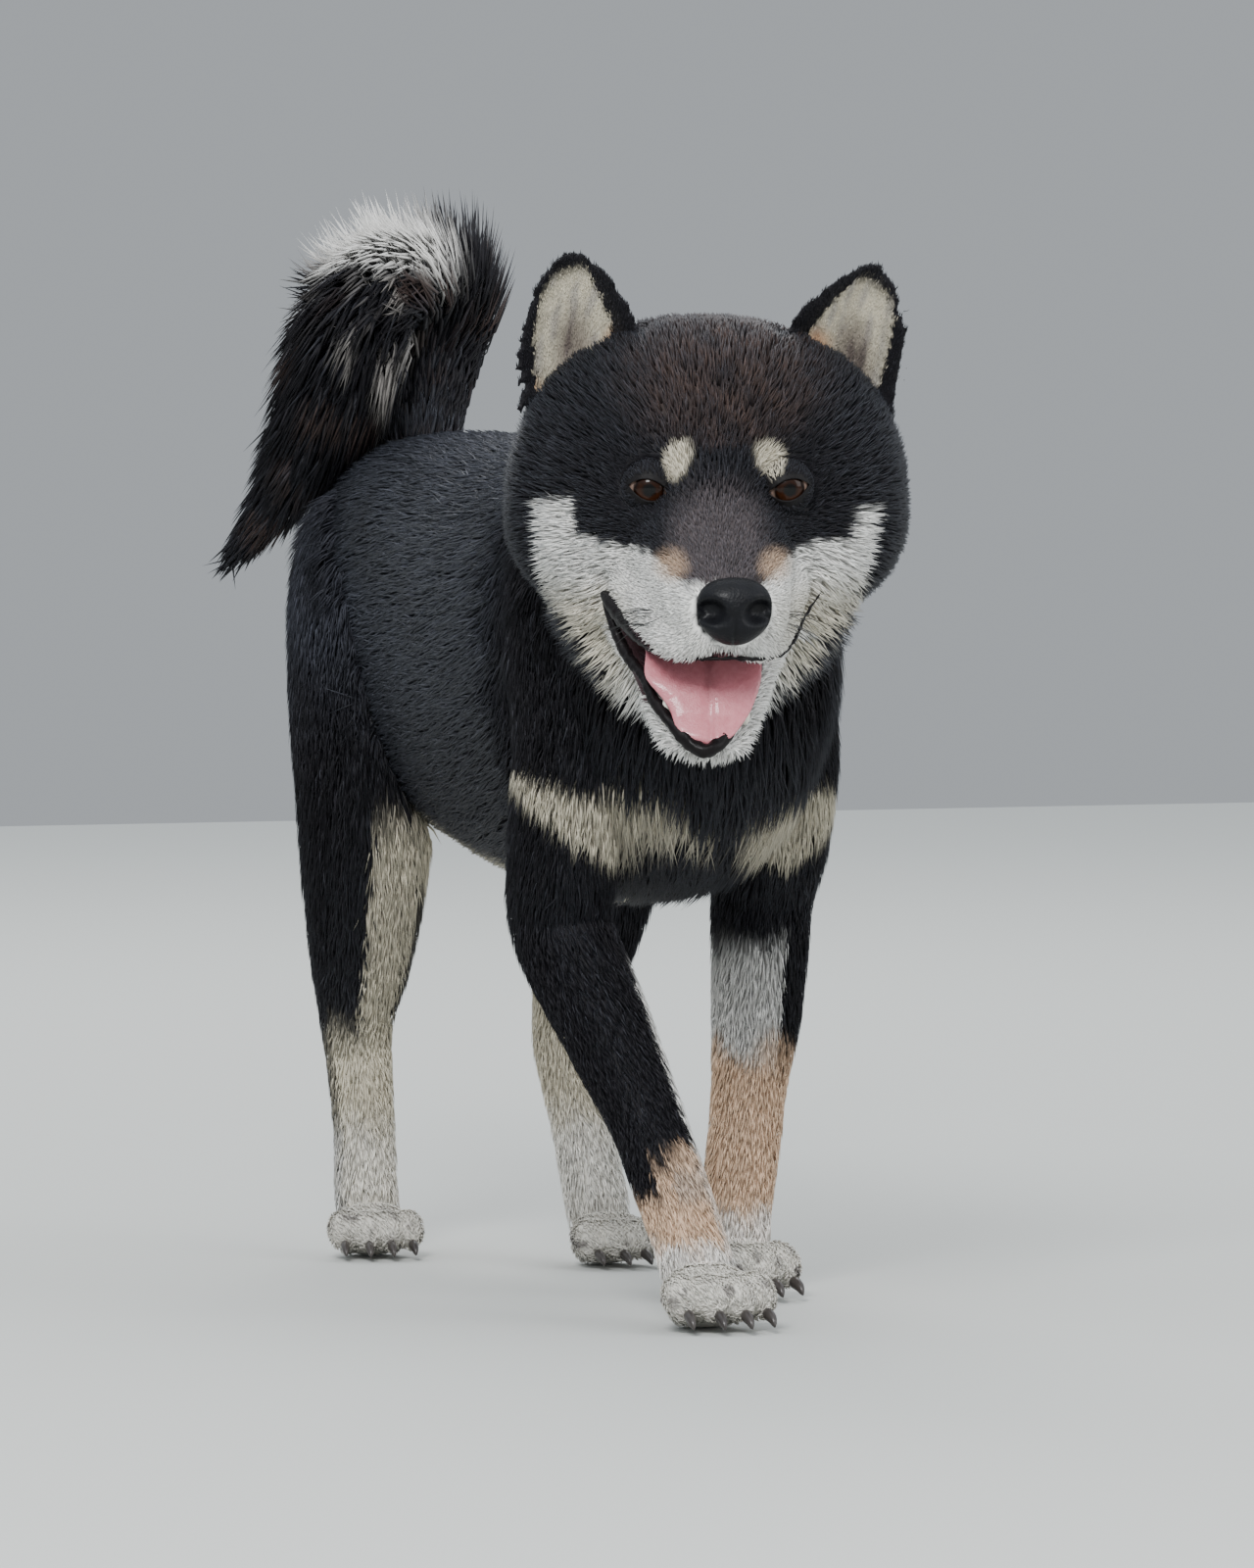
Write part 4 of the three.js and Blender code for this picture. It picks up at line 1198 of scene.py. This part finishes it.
# Claws: one horn on each toe, curved down to a blunt tip.
def makeClaws():
    surfaces = []
    for leg in limbs.values():
        for i, r in enumerate(toeReach):
            x = (i - 1.5) * toeSpread
            claw = (
                (1.04 * x, -27 - r, 9, 2.6, 2.6, 3.1, 3.1), (1.07 * x, -34 - r, 7, 2.1, 2.1, 2.6, 2.6),
                (1.08 * x, -38.5 - r, 3.2, 0.8, 0.8, 1.1, 1.1),
            )
            surface = loft("paw", claw, {"sides": 12, "rings": 12, "fullness": 2})
            surface["points"] = onFloor(surface["points"], leg)
            surfaces.append(surface)
    claws = meshObject("claws", *joined(surfaces))
    placed(smoothShaded(claws), clawMaterial)


makeClaws()

# Whiskers: how many on each side of the muzzle, their length and their thickness
whiskerLook = {"count": 11, "length": 34, "radius": 0.22}


# Thin hairs that leave the muzzle sideways and droop at their tips by 0.16 of their length.
def makeWhiskers():
    local = np.random.default_rng(23)
    surfaces = []
    for side in (-1, 1):
        for _ in range(whiskerLook["count"]):
            out, front, low = 25 + local.uniform(0, 5), 86 + local.uniform(0, 24), 44 + local.uniform(0, 9)
            root = np.array((side * out, -front, -low))
            way = side * local.uniform(0.7, 1.0), local.uniform(0.3, 0.8), local.uniform(-0.5, 0.05)
            length = whiskerLook["length"] * local.uniform(0.5, 1.1)
            way = np.array(way) / np.linalg.norm(way) * length
            middle = root + way * 0.5
            tip = root + way + np.array((0, 0, -0.16 * length))
            r = whiskerLook["radius"]
            rows = [(*root, *[r] * 4), (*middle, *[r * 0.8] * 4), (*tip, *[r * 0.25] * 4)]
            look = {"sides": 5, "rings": 8, "fullness": 2, "across": (0, 0, 1)}
            surfaces.append(loft("muzzle", rows, look, "head"))
    whiskers = meshObject("whiskers", *joined(surfaces))
    placed(smoothShaded(whiskers), whiskerMaterial)


makeWhiskers()
print("face, teeth, claws and whiskers done")

# The skin's material and the nodes that it replaces
placed(smoothShaded(skin), skinMaterial)
paint(skin, data["colour"])
skin.name = "skin"
flesh = ["head", "lower_jaw", "neck", "torso", "tail_root", "tail_brush"]
paired = ("ear", "shoulder", "forearm", "forepaw", "thigh", "shank", "hindpaw")
for side in ("right", "left"):
    flesh += [f"{name}_{side}" for name in paired]
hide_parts(*flesh)

# Coat: the most tufts that it and a piece may have, how much they differ, the painted shade at their roots
# and painted light at their tips, and a patch's size on the bake map
tufts = {
    "most": 142000, "pieceMost": 19000, "jitter": 0.13, "clump": 0.1, "clumpSize": 13, "shade": 0.24,
    "greyShare": 0.07, "grey": (0.018, 0.019, 0.023), "rootPaintedShade": 0.7, "tipPaintedLight": 1.12, "patch": 0.003,
}


# Places where no hair grows: the mouth, the eyes, under the nose leather and below the paws.
def bare(points):
    local = toHead(points)
    none = inMouth(local) | underNose(local)
    for side in (-1, 1):
        none |= np.linalg.norm(local - eyeCentre(side), axis=1) < eyeAt["lid"] - 0.4
    return none | (points[:, 2] < 2.2)


# The skin's values with the eyelids' added, whose short hair lies away from the nose, clear of their rims.
def withLids():
    names = ("points", "normals", "triangles", "part", "along", "around", "flow", "size")
    whole = {name: data[name] for name in names}
    for lid in lids:
        points, normals, triangles = meshArrays(lid)
        rows = lidLook["columns"] * 5
        triangles = triangles[(triangles >= rows).all(axis=1)] + len(whole["points"])
        count = len(points)
        part = np.full(count, partIndex["muzzle"])
        added = {
            "points": points, "normals": normals, "triangles": triangles, "part": part,
            "along": np.full(count, 0.1), "around": np.zeros(count),
            "flow": coatFlow(points, normals, part, normals), "size": np.tile((3.2, 0.55, 0.8), (count, 1)),
        }
        whole = {name: np.concatenate([whole[name], added[name]]) for name in whole}
    return whole


# Roots: triangles drawn by area over the square of the spacing, each at an even place within it.
def sampleRoots():
    whole = withLids()
    points, triangles = whole["points"], whole["triangles"]
    corners = points[triangles]
    area = np.linalg.norm(np.cross(corners[:, 1] - corners[:, 0], corners[:, 2] - corners[:, 0]), axis=1) / 2
    spacing = np.array([coatLook[name][0] for name in partNames])[whole["part"][triangles[:, 0]]]
    local = toHead(corners.mean(axis=1))
    eyes = np.minimum(*[np.linalg.norm(local - eyeCentre(side), axis=1) for side in (-1, 1)])
    spacing = spacing * (1 - 0.25 * (1 - smoothStep(14, 34, eyes)))
    weight = area / spacing**2 * ~bare(corners.mean(axis=1))
    total = int(min(weight.sum(), tufts["most"]))
    print("tufts wanted", int(weight.sum()), "made", total)
    chosen = np.searchsorted(np.cumsum(weight) / weight.sum(), (np.arange(total) + rng.random(total)) / total)
    chosen = np.minimum(chosen, len(triangles) - 1)
    a, b = rng.random((2, total))
    flip = a + b > 1
    a, b = np.where(flip, 1 - a, a), np.where(flip, 1 - b, b)
    shares = np.stack([1 - a - b, a, b], axis=1)[..., None]
    picked = triangles[chosen]
    vectors = ("points", "normals", "flow", "size")
    roots = {name: (whole[name][picked] * shares).sum(axis=1) for name in vectors}
    for name in ("part", "along", "around"):
        roots[name] = whole[name][picked[:, 0]]
    return roots


# Tufts: three-sided blades that leave the skin, bend over and lie along it, each closed to a point.
def tuftArrays(roots):
    count = len(roots["points"])
    normal = unitRows(roots["normals"])
    flow = roots["flow"] + rng.normal(size=(count, 3)) * tufts["jitter"]
    clump = np.stack([wobble(roots["points"], tufts["clumpSize"], seed) for seed in (61, 62, 63)], axis=1)
    flow = flow + clump * tufts["clump"]
    flow = unitRows(flow - normal * (flow * normal).sum(axis=1, keepdims=True))
    length, width, height = (roots["size"] * rng.uniform(0.78, 1.15, (count, 3))).T
    side = np.cross(normal, flow)
    root = roots["points"] - normal * 0.8
    middle = root + flow * (length * 0.45)[:, None] + normal * (height * 0.72 + 0.8)[:, None]
    tip = root + flow * length[:, None] + normal * (height + 0.6)[:, None]
    tip[:, 2] = np.maximum(tip[:, 2], 0.8)
    half = width[:, None] / 2
    rise = normal * width[:, None] * 0.35
    return np.stack([
        root - side * half, root + side * half, root + rise * 1.2,
        middle - side * half * 0.85, middle + side * half * 0.85, middle + rise,
        tip,
    ], axis=1)


# A blade's triangles, from the three corners at its root and three at its bend to its tip, and its patch
bladeFaces = np.array((
    (0, 2, 1), (0, 1, 4), (0, 4, 3), (1, 2, 5), (1, 5, 4), (2, 0, 3), (2, 3, 5),
    (3, 4, 6), (4, 5, 6), (5, 3, 6),
))
bladePatch = np.array(((0, 0), (1, 0), (0.5, 0.15), (0.1, 0.5), (0.9, 0.5), (0.5, 0.55), (0.5, 1)))


# The coat's colour: the markings where most of the tuft shows, with each tuft a little lighter or darker,
# painted shade at its root and painted light at its tip.
def tuftColours(roots, blades):
    count = len(blades)
    seen = roots["points"] * 0.35 + blades[:, 6] * 0.65
    colour = coatColour(seen, roots["part"], roots["along"], roots["around"])
    shade = np.exp(rng.normal(size=count) * tufts["shade"])
    bright = colour.mean(axis=1) > 0.2
    shade = np.where(bright, 1 + (shade - 1) * 0.35, shade)
    colour = colour * shade[:, None]
    grey = (rng.random(count) < tufts["greyShare"]) & ~bright
    colour[grey] += np.array(tufts["grey"])
    whole = np.repeat(colour[:, None], len(bladePatch), axis=1)
    # Painted shade on each blade's root, deep in the coat, and painted light on its tip.
    whole[:, :3] *= tufts["rootPaintedShade"]
    whole[:, 6] *= tufts["tipPaintedLight"]
    return whole


# The bake map: each root's place around and along its part fills the square, and its tuft is a small
# patch there.
def bakeMap(obj, roots, rows):
    part, along, around = (roots[name][rows] for name in ("part", "along", "around"))
    kinds = np.unique(part)
    cells = math.ceil(math.sqrt(len(kinds)))
    cell = np.searchsorted(kinds, part)
    u = np.where(around > earLook["backMark"] - 2, around - earLook["backMark"], around)
    place = np.empty((len(rows), 2))
    for k in range(len(kinds)):
        these = cell == k
        for axis, values in enumerate((u[these], along[these])):
            low, high = values.min(), values.max()
            place[these, axis] = (values - low) / max(high - low, 1e-6)
    place = place + rng.uniform(-0.012, 0.012, place.shape)
    place = np.clip(place, 0, 1) * (1 - 2 * tufts["patch"] * cells) + tufts["patch"]
    place = (place + np.column_stack([cell % cells, cell // cells])) / cells
    uv = place[:, None] + bladePatch[None] * tufts["patch"]
    layer = obj.data.uv_layers.new(name="OFBake")
    loops = uv[:, bladeFaces.ravel()].reshape(-1, 2)
    layer.data.foreach_set("uv", np.clip(loops, 0, 1).astype(np.float32).ravel())


# The coat's pieces and the parts that each covers
groups = {
    "trunk": ("trunk",), "fore_right": ("foreRight",), "fore_left": ("foreLeft",),
    "hind_right": ("hindRight",), "hind_left": ("hindLeft",), "paws": ("paw",), "skull": ("skull",),
    "face": ("muzzle", "jaw"), "cheeks": ("jowls",), "ears": earParts, "tail": ("tail",),
}


# The coat: each group's tufts from front to back, in as many pieces as keep each under the most.
def makeCoat():
    roots = sampleRoots()
    blades = tuftArrays(roots)
    colours = tuftColours(roots, blades)
    for name, kinds in groups.items():
        rows = np.flatnonzero(isPart(roots["part"], kinds))
        rows = rows[np.argsort(roots["points"][rows, 1], kind="stable")]
        pieces = max(1, math.ceil(len(rows) / tufts["pieceMost"]))
        for i, some in enumerate(np.array_split(rows, pieces)):
            triangles = bladeFaces[None] + (np.arange(len(some)) * len(bladePatch))[:, None, None]
            coat = arrayObject(f"coat_{name}_{i + 1}", blades[some].reshape(-1, 3), triangles.reshape(-1, 3))
            bakeMap(coat, roots, some)
            paint(coat, colours[some].reshape(-1, 3))
            placed(coat, coatMaterial)


makeCoat()
print("coat done")

# Studio: pale floor, sky that brightens upwards, soft lights and the camera of the photograph
studio = {
    "floor": (0.50, 0.51, 0.49), "floorHalf": 4000, "sky": (0.80, 0.85, 0.90), "horizon": 0.5, "zenith": 1.5,
    "skyFrom": 0.1, "skyTo": 0.75, "aim": (0, 0, 0.25),
    "lamps": {
        "key": ((-1.6, -2.6, 2.3), 120, 1.0), "fill": ((2.6, -2.2, 1.4), 45, 2.0),
        "rim": ((0.6, 2.4, 2.4), 55, 1.6),
    },
    "lens": 288.3, "sensor": 36, "cameraPlace": (-2.023, -5.331, 0.5), "cameraDown": 2.725, "cameraTurn": -21,
}


# The floor: a square whose middle is under the dog.
def makeFloor():
    h = studio["floorHalf"]
    corners = np.array(((-h, -h, 0), (h, -h, 0), (h, h, 0), (-h, h, 0)), float)
    floor = meshObject("floor", corners - centring, [[0, 1, 2, 3]])
    material, _, shader = newMaterial("studio_floor")
    shader.inputs["Base Color"].default_value = (*studio["floor"], 1)
    shader.inputs["Roughness"].default_value = 0.9
    floor.data.materials.append(material)


# The sky: its strength goes from the horizon's to the zenith's with the height of the direction.
def makeSky():
    world = bpy.context.scene.world or bpy.data.worlds.new("world")
    bpy.context.scene.world = world
    world.use_nodes = True
    tree = world.node_tree
    background = tree.nodes["Background"]
    coords = tree.nodes.new("ShaderNodeTexCoord")
    parts = tree.nodes.new("ShaderNodeSeparateXYZ")
    ramp = tree.nodes.new("ShaderNodeMapRange")
    ramp.inputs["From Min"].default_value = studio["skyFrom"]
    ramp.inputs["From Max"].default_value = studio["skyTo"]
    ramp.inputs["To Min"].default_value = studio["horizon"]
    ramp.inputs["To Max"].default_value = studio["zenith"]
    background.inputs["Color"].default_value = (*studio["sky"], 1)
    tree.links.new(coords.outputs["Generated"], parts.inputs["Vector"])
    tree.links.new(parts.outputs["Z"], ramp.inputs["Value"])
    tree.links.new(ramp.outputs["Result"], background.inputs["Strength"])


# Lamps turned towards the dog, and the camera as it was fitted to the photograph.
def makeStudio():
    makeFloor()
    makeSky()
    for name, (place, power, size) in studio["lamps"].items():
        light = bpy.data.lights.new(name, "AREA")
        light.energy = power
        light.size = size
        lamp = bpy.data.objects.new(name, light)
        lamp.location = place
        lamp.rotation_euler = (Vector(studio["aim"]) - Vector(place)).to_track_quat("-Z", "Y").to_euler()
        bpy.context.scene.collection.objects.link(lamp)
    camera = bpy.data.cameras.new("camera")
    camera.lens = studio["lens"]
    camera.sensor_width = studio["sensor"]
    view = bpy.data.objects.new("camera", camera)
    view.location = studio["cameraPlace"]
    view.rotation_euler = (math.radians(90 - studio["cameraDown"]), 0, math.radians(studio["cameraTurn"]))
    bpy.context.scene.collection.objects.link(view)
    bpy.context.scene.camera = view


makeStudio()
print("studio done")
